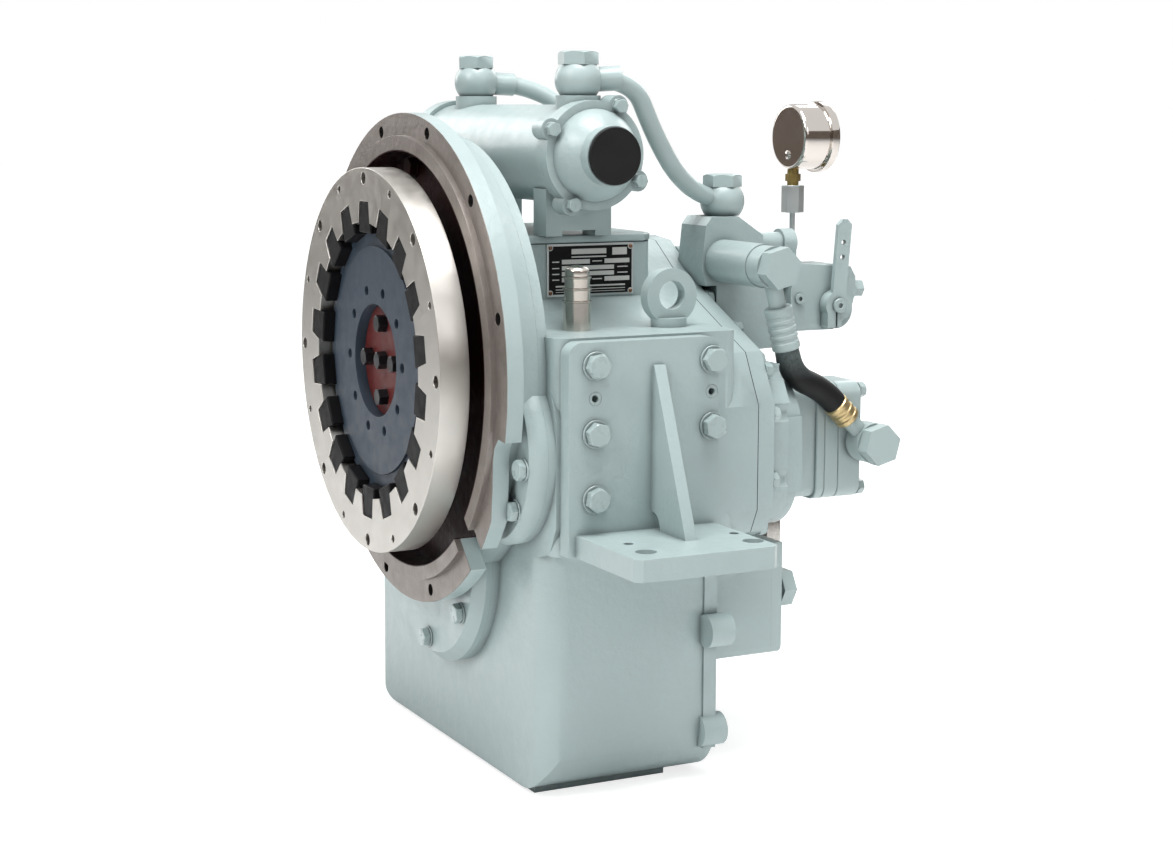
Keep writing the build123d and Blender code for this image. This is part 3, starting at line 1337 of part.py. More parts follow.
def tangent_radii(points):
    """The largest fair arc at each inner point of a route."""
    lengths = [(after - before).length for before, after in zip(points, points[1:])]
    free = [0.48 * length for length in lengths]
    free[0] = 0.94 * lengths[0]
    free[-1] = 0.94 * lengths[-1]
    radii = []
    for k in range(1, len(points) - 1):
        turn = (points[k] - points[k - 1]).get_angle(points[k + 1] - points[k])
        radii.append(min(free[k - 1], free[k]) / tan(radians(turn / 2)))
    return radii


def tube_along(points, radius, radii=None):
    """A round tube along straight runs joined by tangent arcs."""
    path = FilletPolyline(*points, radius=radii or tangent_radii(points))
    start = Plane(origin=path @ 0, z_dir=path % 0)
    return sweep(start * Circle(radius), path=path)


# Valve, selector and gauge

def valve_profile():
    """Side outline of the valve's main block, stepped over the edge of the rear cover."""
    return outline(
        (VALVE_LOWER_FRONT, VALVE_BOTTOM),
        (VALVE_FOOT_REAR, VALVE_BOTTOM + 3),
        (VALVE_FOOT_REAR, VALVE_STEP_Z - 20),
        (VALVE_REAR + 8, VALVE_STEP_Z - 14),
        (VALVE_REAR, VALVE_STEP_Z + 12),
        (VALVE_REAR, VALVE_SLOPE_END),
        (VALVE_SLOPE_START, VALVE_TOP),
        (VALVE_FRONT + 6, VALVE_TOP),
        (VALVE_FRONT, VALVE_TOP - 8),
        (VALVE_FRONT - 4, VALVE_STEP_Z + 18),
        (VALVE_FRONT, VALVE_STEP_Z),
        (VALVE_LOWER_FRONT, VALVE_STEP_Z),
    )


def valve_body():
    """Valve casting: main block, neck, selector housing and the boss for the hose."""
    shape = bar_x(valve_profile(), VALVE_LEFT, VALVE_RIGHT)
    shape += rod_x(HOSE_BOSS_RADIUS, VALVE_RIGHT - 20, union_left(), HOSE_BOSS_Y, HOSE_BOSS_Z)
    shape += rod_y(NECK_RADIUS, VALVE_REAR - 10, SELECTOR_FRONT + 8, (valve_middle(), NECK_Z))
    shape += rod_y(CAP_RADIUS, VALVE_REAR - 10, SELECTOR_FRONT + 4, (VALVE_RIGHT - CAP_RADIUS - 2, CAP_Z))
    cap_middle = (VALVE_RIGHT - CAP_RADIUS - 2, CAP_Z)
    shape += rod_y(CAP_RADIUS + 3, SELECTOR_FRONT - 6, SELECTOR_FRONT + 8, cap_middle)
    middle = ((SELECTOR_FRONT + SELECTOR_REAR) / 2, (SELECTOR_BOTTOM + SELECTOR_TOP) / 2)
    housing = Pos(*middle) * Rectangle(SELECTOR_REAR - SELECTOR_FRONT, SELECTOR_TOP - SELECTOR_BOTTOM)
    housing = fillet(housing.vertices().sort_by(Axis.X)[-2:], 18)
    shape += bar_x(housing, SELECTOR_LEFT, VALVE_RIGHT)
    bridge = block((VALVE_LEFT + 6, VALVE_RIGHT - 8), (VALVE_REAR - 2, SELECTOR_FRONT + 10), (80, 108))
    shape += bridge
    shape += block((GAUGE_X - 10, GAUGE_X + 10), (SELECTOR_FRONT - 2, SELECTOR_FRONT + 20), (76, 108))
    plug_end = SELECTOR_REAR + SIDE_PLUG_NECK
    shape += rod_y(SIDE_PLUG_RADIUS, SELECTOR_REAR - 1, plug_end, (valve_middle(), SIDE_PLUG_Z))
    plug = Pos(valve_middle(), SIDE_PLUG_Z) * hexagon(SIDE_PLUG_WIDTH)
    shape += bar_y(plug, plug_end, plug_end + SIDE_PLUG_HEAD)
    shape -= rod_x(SELECTOR_BORE + RUNNING, SELECTOR_LEFT + 8, VALVE_RIGHT + 1, SELECTOR_Y, SELECTOR_Z)
    for y, z in SELECTOR_SCREWS:
        end = VALVE_RIGHT + SELECTOR_PLATE - SELECTOR_SCREW_LENGTH
        shape -= rod_x(SELECTOR_SCREW_RADIUS, end, VALVE_RIGHT + 1, y, z)
    shape -= rod_x(UNION_STEM_RADIUS, union_left() - 10, union_left() + 1, HOSE_BOSS_Y, HOSE_BOSS_Z)
    shape -= rod_z(BANJO_STEM_RADIUS - 2, VALVE_TOP - 14, VALVE_TOP + 1, VALVE_BANJO_X, VALVE_BANJO_Y)
    return shape


def valve_middle():
    return (VALVE_LEFT + VALVE_RIGHT) / 2


def selector_plate():
    """Cover plate of the selector with its clipped corners."""
    front = SELECTOR_FRONT - 1
    plate = outline(
        (front, SELECTOR_BOTTOM + 12),
        (front + 6, SELECTOR_BOTTOM),
        (front + 48, SELECTOR_BOTTOM),
        (SELECTOR_REAR - 6, SELECTOR_BOTTOM + 13),
        (SELECTOR_REAR, SELECTOR_BOTTOM + 34),
        (SELECTOR_REAR, SELECTOR_TOP - 12),
        (SELECTOR_REAR - 6, SELECTOR_TOP - 2),
        (front + 12, SELECTOR_TOP + 2),
        (front + 5, SELECTOR_TOP - 3),
        (front, SELECTOR_TOP - 22),
    )
    shape = bar_x(plate, VALVE_RIGHT, VALVE_RIGHT + SELECTOR_PLATE)
    for y, z in SELECTOR_SCREWS:
        shape -= rod_x(SELECTOR_SCREW_RADIUS, VALVE_RIGHT - 1, VALVE_RIGHT + SELECTOR_PLATE + 1, y, z)
    stem_hole = SPOOL_STEM_RADIUS + RUNNING
    return shape - rod_x(stem_hole, VALVE_RIGHT - 1, VALVE_RIGHT + 20, SELECTOR_Y, SELECTOR_Z)


def selector_screws():
    """Socket screws that hold the selector's plate."""
    face = VALVE_RIGHT + SELECTOR_PLATE
    screws = []
    for y, z in SELECTOR_SCREWS:
        screw = rod_x(SELECTOR_SCREW_RADIUS, face - SELECTOR_SCREW_LENGTH, face, y, z)
        screw += rod_x(SELECTOR_SCREW_HEAD, face, face + SELECTOR_SCREW_RADIUS, y, z)
        socket = Pos(y, z) * hexagon(SELECTOR_SCREW_SOCKET)
        screws.append(screw - bar_x(socket, face + 1, face + SELECTOR_SCREW_RADIUS + 1))
    return screws


def selector_spool():
    """Rotary spool with flats for the oil ways and the stem for the lever."""
    start = SELECTOR_LEFT + 8 + LOOSE
    shape = rod_x(SELECTOR_BORE, start, VALVE_RIGHT - LOOSE, SELECTOR_Y, SELECTOR_Z)
    for side in (-1, 1):
        centre = SELECTOR_Z + side * SELECTOR_BORE
        shape -= rod_x(7.0, start + 8, VALVE_RIGHT - 10, SELECTOR_Y, centre)
    stem_end = VALVE_RIGHT + SELECTOR_PLATE + SPOOL_STEM_REACH
    return shape + rod_x(SPOOL_STEM_RADIUS, start, stem_end, SELECTOR_Y, SELECTOR_Z)


def selector_lever():
    """Lever clamped on the spool's stem: split hub, arm and two rod holes."""
    start = VALVE_RIGHT + SELECTOR_PLATE + SIDE_PLAY
    end = start + SPOOL_STEM_REACH - 2
    shape = rod_x(LEVER_HUB_RADIUS, start, end, SELECTOR_Y, SELECTOR_Z)
    half = LEVER_WIDTH / 2
    top_y = SELECTOR_Y + LEVER_LEAN
    arm = outline(
        (SELECTOR_Y - half, SELECTOR_Z),
        (SELECTOR_Y + half, SELECTOR_Z),
        (top_y + half, LEVER_TOP - 5),
        (top_y + half - 5, LEVER_TOP),
        (top_y - half + 5, LEVER_TOP),
        (top_y - half, LEVER_TOP - 5),
    )
    shape += bar_x(arm, end - LEVER_THICKNESS, end)
    ear = Pos(SELECTOR_Y - 4, SELECTOR_Z - 14) * Rectangle(16, 14)
    shape += bar_x(ear, start, end)
    slit = Pos(SELECTOR_Y - 2, SELECTOR_Z - 16) * Rectangle(2, 24)
    shape -= bar_x(slit, start - 1, end + 1)
    for drop in (22.0, 36.0):
        y = top_y - LEVER_LEAN * drop / (LEVER_TOP - SELECTOR_Z)
        shape -= rod_x(LEVER_HOLE_RADIUS, end - LEVER_THICKNESS - 1, end + 1, y, LEVER_TOP - drop)
    return shape - rod_x(SPOOL_STEM_RADIUS, start - 1, end + 1, SELECTOR_Y, SELECTOR_Z)


def gauge_case():
    """Gauge housing open to the rear, with its bezel and dial plate."""
    rear = GAUGE_FRONT + GAUGE_DEPTH
    at = (GAUGE_X, GAUGE_Z)
    shape = turned_y([
        (0, GAUGE_FRONT),
        (GAUGE_RADIUS - 3, GAUGE_FRONT),
        (GAUGE_RADIUS, GAUGE_FRONT + 4),
        (GAUGE_RADIUS, rear - GAUGE_BEZEL_WIDTH),
        (GAUGE_BEZEL, rear - GAUGE_BEZEL_WIDTH),
        (GAUGE_BEZEL, rear - 2),
        (GAUGE_BEZEL - 2, rear),
        (GAUGE_RADIUS - 3, rear),
        (GAUGE_RADIUS - 3, rear - 2),
        (GAUGE_RADIUS - GAUGE_WALL, rear - 2),
        (GAUGE_RADIUS - GAUGE_WALL, GAUGE_FRONT + GAUGE_WALL + 4),
        (0, GAUGE_FRONT + GAUGE_WALL + 4),
    ], at)
    dial = rod_y(GAUGE_RADIUS - GAUGE_WALL, rear - 12, rear - 11, at)
    pivot = rod_y(2.0, GAUGE_FRONT + GAUGE_WALL + 4, rear - 12, at)
    return [shape, dial + pivot]


def gauge_needle():
    """Needle with its hub, pointing down to the left of the dial."""
    rear = GAUGE_FRONT + GAUGE_DEPTH
    hub = Circle(4)
    hand = outline((-6, -1.6), (NEEDLE_LENGTH, -0.5), (NEEDLE_LENGTH, 0.5), (-6, 1.6))
    sketch = hub + Rot(0, 0, -45) * hand
    return bar_y(Pos(GAUGE_X, GAUGE_Z) * sketch, rear - 10.6, rear - 9)


def gauge_glass():
    rear = GAUGE_FRONT + GAUGE_DEPTH
    return rod_y(GAUGE_RADIUS - GAUGE_WALL, rear - 4, rear - 2, (GAUGE_X, GAUGE_Z))


def gauge_stem():
    """Brass stem, hexagon adaptor and the thin tube down to the valve."""
    x, y = GAUGE_X, GAUGE_STEM_Y
    stem = rod_z(5.5, 157, GAUGE_Z - GAUGE_RADIUS + 0.5, x, y)
    stem += bar_z(Pos(x, y) * hexagon(13), 161, 168)
    stem -= rod_y(GAUGE_RADIUS, GAUGE_FRONT, GAUGE_FRONT + GAUGE_DEPTH, (x, GAUGE_Z))
    nut = bar_z(Pos(x, y) * hexagon(GAUGE_NUT_WIDTH), 131, 157)
    tube = rod_z(GAUGE_TUBE_RADIUS, 108, 131, x, y)
    return [stem, nut + tube]


# Cooler and pipes

def cooler_shell():
    """Cooler barrel with end flanges, eared for the cap bolts, two saddles and two pipe bosses."""
    y, z = COOLER_Y, COOLER_Z
    shape = rod_x(COOLER_RADIUS, COOLER_LEFT, COOLER_RIGHT, y, z)
    for start in (COOLER_LEFT, COOLER_RIGHT - COOLER_FLANGE_THICKNESS):
        shape += bar_x(cap_outline(), start, start + COOLER_FLANGE_THICKNESS)
    for x in SADDLE_X:
        saddle = block(
            (x - SADDLE_HALF_LENGTH, x + SADDLE_HALF_LENGTH),
            (SADDLE_FRONT, SADDLE_REAR),
            (cover_top(), z - COOLER_RADIUS + 14),
        )
        slot = block(
            (x - SADDLE_HALF_LENGTH - 1, x + SADDLE_HALF_LENGTH + 1),
            (SADDLE_SLOT_FRONT, SADDLE_SLOT_REAR),
            (cover_top() - 1, cover_top() + SADDLE_SLOT_HEIGHT),
        )
        shape += saddle - slot
    for x in BANJO_X:
        shape += rod_z(BANJO_BOSS_RADIUS, z, BANJO_BOSS_TOP, x, y)
    shape -= rod_x(COOLER_RADIUS - COOLER_WALL, COOLER_LEFT - 1, COOLER_RIGHT + 1, y, z)
    for x in BANJO_X:
        shape -= rod_z(BANJO_STEM_RADIUS, z, BANJO_BOSS_TOP + 1, x, y)
    for y_ear, z_ear in ear_places():
        depth = COOLER_FLANGE_THICKNESS + 1
        shape -= rod_x(CAP_BOLT_RADIUS, COOLER_LEFT - 1, COOLER_LEFT + depth, y_ear, z_ear)
        shape -= rod_x(CAP_BOLT_RADIUS, COOLER_RIGHT - depth, COOLER_RIGHT + 1, y_ear, z_ear)
    return shape


def ear_places():
    centre = (COOLER_Y, COOLER_Z)
    return [polar(EAR_CIRCLE, EAR_FIRST_ANGLE + 360 * k / EAR_COUNT, centre) for k in range(EAR_COUNT)]


def cap_outline():
    """Round cooler flange with a bolt ear at each corner."""
    shape = Pos(COOLER_Y, COOLER_Z) * Circle(COOLER_RADIUS + 4)
    for at in ear_places():
        shape += Pos(*at) * Circle(EAR_RADIUS)
    return shape


def cooler_cap():
    """Domed end cap with the raw water port."""
    start = COOLER_RIGHT
    shape = bar_x(cap_outline(), start, start + CAP_FLANGE)
    dome = [
        (start, 0),
        (start, CAP_DOME_RADIUS),
        (start + CAP_FLANGE + 4, CAP_DOME_RADIUS - 2),
        (start + CAP_DOME - 6, CAP_DOME_RADIUS - 6),
        (start + CAP_DOME + 2, PORT_RADIUS + 4),
        (start + CAP_DOME + 6, PORT_RADIUS),
        (start + CAP_LENGTH, PORT_RADIUS),
        (start + CAP_LENGTH, 0),
    ]
    shape += turned_x(dome, COOLER_Y, COOLER_Z)
    inside = [
        (start - 1, 0),
        (start - 1, COOLER_RADIUS - COOLER_WALL),
        (start + CAP_FLANGE, CAP_DOME_RADIUS - CAP_WALL),
        (start + PORT_START, PORT_BORE),
        (start + CAP_LENGTH + 1, PORT_BORE),
        (start + CAP_LENGTH + 1, 0),
    ]
    shape -= turned_x(inside, COOLER_Y, COOLER_Z)
    for y, z in ear_places():
        shape -= rod_x(CAP_BOLT_RADIUS + LOOSE, start - 1, start + CAP_FLANGE + 1, y, z)
    return shape


def to_left_end(shape):
    """Move a piece of the right cooler end to the left end."""
    return Pos(COOLER_LEFT + COOLER_RIGHT, 0, 0) * mirrored(shape)


def cooler_cap_bolts():
    face = COOLER_RIGHT + CAP_FLANGE
    end = COOLER_RIGHT - COOLER_FLANGE_THICKNESS
    bolts = [
        bolt_x(CAP_BOLT_WIDTH, CAP_BOLT_HEAD, CAP_BOLT_RADIUS, face, end, y, z)
        for y, z in ear_places()
    ]
    return bolts + [to_left_end(bolt) for bolt in bolts]


def port_plug():
    """Plastic transport plug in the water port."""
    face = COOLER_RIGHT + CAP_LENGTH
    shape = rod_x(PLUG_RADIUS, face, face + PLUG_THICKNESS, COOLER_Y, COOLER_Z)
    return shape + rod_x(PORT_BORE, face - 8, face, COOLER_Y, COOLER_Z)


def cooler_tubes():
    """Tube bundle between its two end plates."""
    start = COOLER_LEFT + 2
    end = COOLER_RIGHT - 2
    bundle = rod_x(COOLER_RADIUS - COOLER_WALL, start, start + TUBE_PLATE, COOLER_Y, COOLER_Z)
    bundle += rod_x(COOLER_RADIUS - COOLER_WALL, end - TUBE_PLATE, end, COOLER_Y, COOLER_Z)
    for k in range(TUBE_RINGS):
        y, z = polar(TUBE_CIRCLE, 360 * k / TUBE_RINGS, (COOLER_Y, COOLER_Z))
        bundle += rod_x(TUBE_RADIUS, start, end, y, z)
    return bundle


def banjo_places():
    """Foot centre of each upright banjo union: two on the cooler, one on the valve."""
    places = [(x, COOLER_Y, BANJO_BOSS_TOP) for x in BANJO_X]
    return places + [(VALVE_BANJO_X, VALVE_BANJO_Y, VALVE_TOP)]


def ball_centre(place):
    x, y, z = place
    return Vector(x, y, z + BANJO_BALL_HEIGHT / 2)


def banjo_ball(place):
    """Ball of a banjo union, flat above and below, bored for its bolt."""
    x, y, z = place
    shape = Pos(*ball_centre(place)) * Sphere(BANJO_BALL_RADIUS)
    limit = BANJO_BALL_RADIUS + 1
    shape &= block((x - limit, x + limit), (y - limit, y + limit), (z, z + BANJO_BALL_HEIGHT))
    return shape


def banjo_bolts():
    """Hollow bolts that hold the three upright unions."""
    bolts = []
    for x, y, z in banjo_places():
        depth = 12.0
        radius = BANJO_STEM_RADIUS - 2
        top = z + BANJO_BALL_HEIGHT
        bolt = rod_z(radius, z - depth, top, x, y)
        bolt += bar_z(Pos(x, y) * Rot(0, 0, 20) * hexagon(BANJO_HEX_WIDTH), top, top + BANJO_HEX_HEIGHT)
        bolts.append(bolt)
    return bolts


def cooler_pipe(place, points):
    """A painted pipe with its union ball, socket and bore for the union's bolt."""
    x, y, z = place
    radius = BANJO_STEM_RADIUS - 2
    centre = ball_centre(place)
    direction = (points[0] - centre).normalized()
    shape = banjo_ball(place)
    shape += cylinder_between(centre, centre + direction * PIPE_SOCKET, PIPE_SOCKET_RADIUS)
    shape += tube_along([centre, *points], PIPE_RADIUS)
    return shape - rod_z(radius, z - 1, z + BANJO_BALL_HEIGHT + 1, x, y)


def right_pipe_points():
    """Route from the right cooler union over and down to the valve union."""
    _, cooler, valve = (ball_centre(place) for place in banjo_places())
    return [
        cooler + Vector(6, 30, 1.5),
        cooler + Vector(5, 56, -8.5),
        cooler + Vector(-4, 80, -49.5),
        valve + Vector(20, -63, 28.5),
        valve + Vector(8, -33, 8.5),
        valve,
    ]


def left_pipe_points():
    """Route from the left cooler union aft and down into the top of the case."""
    cooler = ball_centre(banjo_places()[0])
    boss = Vector(RETURN_BOSS_X, RETURN_BOSS_Y, RETURN_BOSS_TOP)
    return [
        cooler + Vector(4, 46, -2.5),
        cooler + Vector(18, 82, -18.5),
        boss + Vector(-22, -2, 84),
        boss + Vector(0, 0, 38),
        boss - Vector(0, 0, RETURN_DEPTH),
    ]


# Strainer and service fittings

def strainer_x():
    return (STRAINER_INNER + STRAINER_OUTER) / 2


def strainer_outline():
    width = STRAINER_OUTER - STRAINER_INNER
    height = STRAINER_TOP - STRAINER_BOTTOM
    middle = (strainer_x(), (STRAINER_TOP + STRAINER_BOTTOM) / 2)
    sketch = Rectangle(width, height)
    sketch = fillet(sketch.vertices().sort_by(Axis.Y)[:2], STRAINER_CORNER)
    return Pos(*middle) * sketch


def strainer_housing():
    shape = bar_y(strainer_outline(), SUMP_REAR, STRAINER_REAR)
    return shape - rod_y(STRAINER_BORE, SUMP_REAR - 1, STRAINER_REAR + 1, (strainer_x(), STRAINER_Z))


def strainer_lid():
    """Lid with the large hexagon plug."""
    at = (strainer_x(), STRAINER_Z)
    end = STRAINER_REAR + STRAINER_LID
    shape = bar_y(strainer_outline(), STRAINER_REAR, end)
    shape += rod_y(STRAINER_PLUG_NECK, end, end + 5, at)
    return shape + bar_y(Pos(*at) * hexagon(STRAINER_PLUG_WIDTH), end + 5, end + 5 + STRAINER_PLUG_HEIGHT)


def strainer_screen():
    at = (strainer_x(), STRAINER_Z)
    outer = STRAINER_BORE - LOOSE
    return ring_y(outer, outer - STRAINER_SCREEN_WALL, SUMP_REAR - 6, STRAINER_REAR, at)


def lifting_eye():
    """Cast ring eye on a round base, its plane along the shafts."""
    base = rod_z(EYE_BASE_RADIUS, PAD_TOP, PAD_TOP + EYE_BASE, EYE_X, EYE_Y)
    centre_z = PAD_TOP + EYE_BASE + EYE_OUTER - 6
    half = EYE_THICKNESS / 2
    ring = rod_x(EYE_OUTER, EYE_X - half, EYE_X + half, EYE_Y, centre_z)
    ring -= block((EYE_X - 40, EYE_X + 40), (EYE_Y - 40, EYE_Y + 40), (PAD_TOP - 40, PAD_TOP))
    shape = base + ring
    return shape - rod_x(EYE_INNER, EYE_X - 40, EYE_X + 40, EYE_Y, centre_z + 1)


def breather():
    """Ribbed steel breather nipple."""
    top = PAD_TOP + BREATHER_HEIGHT
    points = [(BREATHER_BORE - 2, PAD_TOP - 8), (BREATHER_BORE, PAD_TOP - 8), (BREATHER_BORE, PAD_TOP)]
    points += [(BREATHER_RADIUS, PAD_TOP)]
    rib = BREATHER_HEIGHT / 5
    z = PAD_TOP + BREATHER_HEIGHT * 0.4
    for _ in range(BREATHER_GROOVES):
        points += [(BREATHER_RADIUS, z), (BREATHER_RADIUS - 2, z), (BREATHER_RADIUS - 0.6, z + rib - 1)]
        z += rib
    points += [(BREATHER_RADIUS - 2, top), (BREATHER_BORE - 2, top)]
    return turned_z(points, BREATHER_X, BREATHER_Y)


def service_fittings():
    """Dipstick with its cap on the left pad, and the drain plug low at the rear."""
    stick = rod_z(DIPSTICK_RADIUS, DIPSTICK_END, PAD_TOP + 1, DIPSTICK_X, DIPSTICK_Y)
    stick += rod_z(DIPSTICK_CAP, PAD_TOP, PAD_TOP + 12, DIPSTICK_X, DIPSTICK_Y)
    ring = Pos(DIPSTICK_X, DIPSTICK_Y, PAD_TOP + 20) * Rot(90, 0, 0) * Torus(9, 2)
    at = (DRAIN_X, DRAIN_Z)
    drain = rod_y(8.0, SUMP_REAR - CASE_WALL, SUMP_REAR, at)
    drain += bar_y(Pos(*at) * hexagon(24), SUMP_REAR, SUMP_REAR + 10)
    return [stick + ring, drain]


def build():
    """Build every node and write it."""
    save("bell_housing", bell_housing())
    save("gear_case", gear_case())
    save("rear_cover", rear_cover())
    save("top_cover", top_cover())
    save("housing_gaskets", *housing_gaskets())
    end = BELL_FLOOR + BELL_BOLT_LENGTH
    bell_bolts = [
        bolt_y(BELL_BOLT_WIDTH, BELL_BOLT_HEAD, BELL_BOLT_RADIUS, bell_bolt_face(at), end, at)
        for at in bell_bolt_places()
    ]
    cover_bolts = [
        bolt_y(COVER_BOLT_WIDTH, COVER_BOLT_HEAD, COVER_BOLT_RADIUS, COVER_STEP, COVER_BOLT_END, at)
        for at in cover_bolt_places()
    ]
    save("housing_bolts", *bell_bolts, *cover_bolts, *pump_bolts(), *selector_screws())
    bracket = side_bracket()
    save("right_bracket", bracket)
    save("left_bracket", mirrored(bracket))
    save("bracket_fasteners", *bracket_fasteners())

    save("coupling_ring", coupling_ring())
    save("coupling_blocks", *coupling_blocks())
    save("coupling_hub", coupling_hub())
    save("shaft_flange", shaft_flange())
    save("hub_bolts", *hub_bolts())

    save("input_shaft", input_shaft())
    ahead_sizes = (INPUT_TEETH, INPUT_PHASE, INPUT_DRUM_BORE, INPUT_SHAFT_RADIUS)
    save("ahead_drum", clutch_drum(*ahead_sizes, INPUT_AXIS))
    save("ahead_steel_plates", *steel_plates(INPUT_DRUM_BORE, INPUT_HUB_RADIUS, INPUT_AXIS))
    save("ahead_piston", clutch_piston(INPUT_DRUM_BORE, INPUT_SHAFT_RADIUS, INPUT_AXIS))
    save("ahead_pinion", pinion(AHEAD_PINION_PHASE, INPUT_HUB_RADIUS, INPUT_SHAFT_RADIUS, INPUT_AXIS))
    save("ahead_friction_plates", *friction_plates(INPUT_DRUM_BORE, INPUT_HUB_RADIUS, INPUT_AXIS))

    save("astern_shaft", astern_shaft())
    astern_sizes = (ASTERN_TEETH, ASTERN_PHASE, ASTERN_DRUM_BORE, ASTERN_SHAFT_RADIUS)
    save("astern_drum", clutch_drum(*astern_sizes, ASTERN_AXIS))
    save("astern_steel_plates", *steel_plates(ASTERN_DRUM_BORE, ASTERN_HUB_RADIUS, ASTERN_AXIS))
    save("astern_piston", clutch_piston(ASTERN_DRUM_BORE, ASTERN_SHAFT_RADIUS, ASTERN_AXIS))
    save("astern_pinion", pinion(ASTERN_PINION_PHASE, ASTERN_HUB_RADIUS, ASTERN_SHAFT_RADIUS, ASTERN_AXIS))
    save("astern_friction_plates", *friction_plates(ASTERN_DRUM_BORE, ASTERN_HUB_RADIUS, ASTERN_AXIS))

    save("output_shaft", output_shaft())
    save("output_gear", output_gear())
    save("output_flange", output_flange())
    save("output_nut", output_nut())
    save("bearing_races", *bearing_races())
    save("bearing_rollers", *bearing_rollers())
    save("shaft_seals", *shaft_seals())

    save("pump_body", *pump_body())
    save("pump_end_cover", pump_end_cover())
    save("pump_drive_gear", pump_drive_gear())
    save("pump_driven_gear", pump_gear(PUMP_DRIVEN_PHASE, PUMP_DRIVEN_AXIS, PUMP_PLATE_START - 19))

    save("valve_body", valve_body())
    save("selector_plate", selector_plate())
    save("selector_spool", selector_spool())
    save("selector_lever", selector_lever())
    save("gauge_case", *gauge_case())
    save("gauge_needle", gauge_needle())
    save("gauge_glass", gauge_glass())
    save("gauge_stem", *gauge_stem())

    save("hose_fittings", *hose_fittings(), *hose_ferrules())
    save("pressure_hose", tube_along(hose_route(), HOSE_RADIUS))

    save("cooler_shell", cooler_shell())
    cap = cooler_cap()
    save("cooler_caps", cap, to_left_end(cap))
    save("cooler_cap_bolts", *cooler_cap_bolts())
    plug = port_plug()
    save("port_plugs", plug, to_left_end(plug))
    save("cooler_tubes", cooler_tubes())
    save("banjo_bolts", *banjo_bolts())
    right = cooler_pipe(banjo_places()[1], right_pipe_points())
    right += banjo_ball(banjo_places()[2])
    x, y, z = banjo_places()[2]
    right -= rod_z(BANJO_STEM_RADIUS - 2, z - 1, z + BANJO_BALL_HEIGHT + 1, x, y)
    save("cooler_pipes", right, cooler_pipe(banjo_places()[0], left_pipe_points()))

    save("strainer_housing", strainer_housing())
    save("strainer_lid", strainer_lid())
    save("strainer_screen", strainer_screen())
    save("lifting_eye", lifting_eye())
    save("breather", breather())
    save("service_fittings", *service_fittings())


def bell_bolt_face(at):
    """Face under a bell bolt's head: the lobes stand a little proud of the bell's floor."""
    outside = hypot(*at) > BELL_BORE
    return BELL_FLOOR - LOBE_RISE if outside else BELL_FLOOR


build()
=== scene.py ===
"""Studio scene of a marine reversing gearbox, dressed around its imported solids."""
import json
import logging
import math
from contextlib import contextmanager
from dataclasses import dataclass, field
from enum import Enum
from typing import Iterable, Iterator, Optional, Sequence, Union

import bpy
from mathutils import Matrix, Vector


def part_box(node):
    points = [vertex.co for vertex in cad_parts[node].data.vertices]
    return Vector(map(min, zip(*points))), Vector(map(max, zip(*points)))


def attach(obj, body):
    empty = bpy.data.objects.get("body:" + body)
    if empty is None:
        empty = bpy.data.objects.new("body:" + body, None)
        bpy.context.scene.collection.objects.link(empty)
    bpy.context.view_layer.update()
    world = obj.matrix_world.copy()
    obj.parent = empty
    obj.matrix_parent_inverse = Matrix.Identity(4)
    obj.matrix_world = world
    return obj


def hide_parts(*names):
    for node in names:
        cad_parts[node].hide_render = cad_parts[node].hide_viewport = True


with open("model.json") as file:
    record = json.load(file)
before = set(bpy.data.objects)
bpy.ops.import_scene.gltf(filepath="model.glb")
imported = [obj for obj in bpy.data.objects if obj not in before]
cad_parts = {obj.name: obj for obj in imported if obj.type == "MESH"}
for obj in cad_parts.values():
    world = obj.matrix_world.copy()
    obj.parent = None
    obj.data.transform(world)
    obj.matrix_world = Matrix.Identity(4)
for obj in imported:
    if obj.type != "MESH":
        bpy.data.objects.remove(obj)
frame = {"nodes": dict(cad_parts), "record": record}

LOG = logging.getLogger("gearbox")
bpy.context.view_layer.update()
MM = 0.001
ORIGIN, RIGHT, AFT, UP = (0, 0, 0), (1, 0, 0), (0, 1, 0), (0, 0, 1)
# Shares of a noise between which nearly all of it lies
NOISE_LOW, NOISE_HIGH = 0.3, 0.7
# Shares of open sky at which the painted shade in a corner is full and at which it ends
SHADE_FULL, SHADE_NONE = 0.35, 0.9
# Points nearer than the first, and faces flatter to each other than the second, are made one
MERGE_MM, FLAT_DEGREES = 0.01, 0.6

Point = Sequence[float]
Piece = bpy.types.Object
Tree = bpy.types.NodeTree
Node = bpy.types.Node
Socket = bpy.types.NodeSocket
Value = Union[float, Sequence[float], Socket, Node]


class Body(Enum):
    """The bodies that pieces ride on."""

    HOUSING = "housing"
    INPUT = "input_rotor"
    OUTPUT = "output_rotor"
    SELECTOR = "selector"


class Slot(Enum):
    """The material slots of the record."""

    PAINT = "grey_paint"
    ZINC = "zinc_steel"
    RING = "ring_aluminium"
    RUBBER = "black_rubber"
    SLATE = "slate_iron"
    RED = "red_oxide"
    BLACK_STEEL = "black_steel"
    BRIGHT_STEEL = "bright_steel"
    LINING = "sintered_lining"
    GASKET = "paper_gasket"
    CHROME = "chrome"
    GLASS = "gauge_glass"
    NEEDLE = "black_needle"
    BRASS = "brass"
    PLASTIC = "black_plastic"
    COPPER = "copper_tube"


# Node and colour helpers

def linear(code: str) -> tuple[float, float, float, float]:
    """Turn an sRGB hex colour to linear.

    Args:
        code: The colour as six hex digits.

    Returns:
        The linear colour, opaque.
    """
    parts = [int(code[k:k + 2], 16) / 255 for k in (0, 2, 4)]
    made = [p / 12.92 if p <= 0.04045 else ((p + 0.055) / 1.055) ** 2.4 for p in parts]
    return (made[0], made[1], made[2], 1.0)


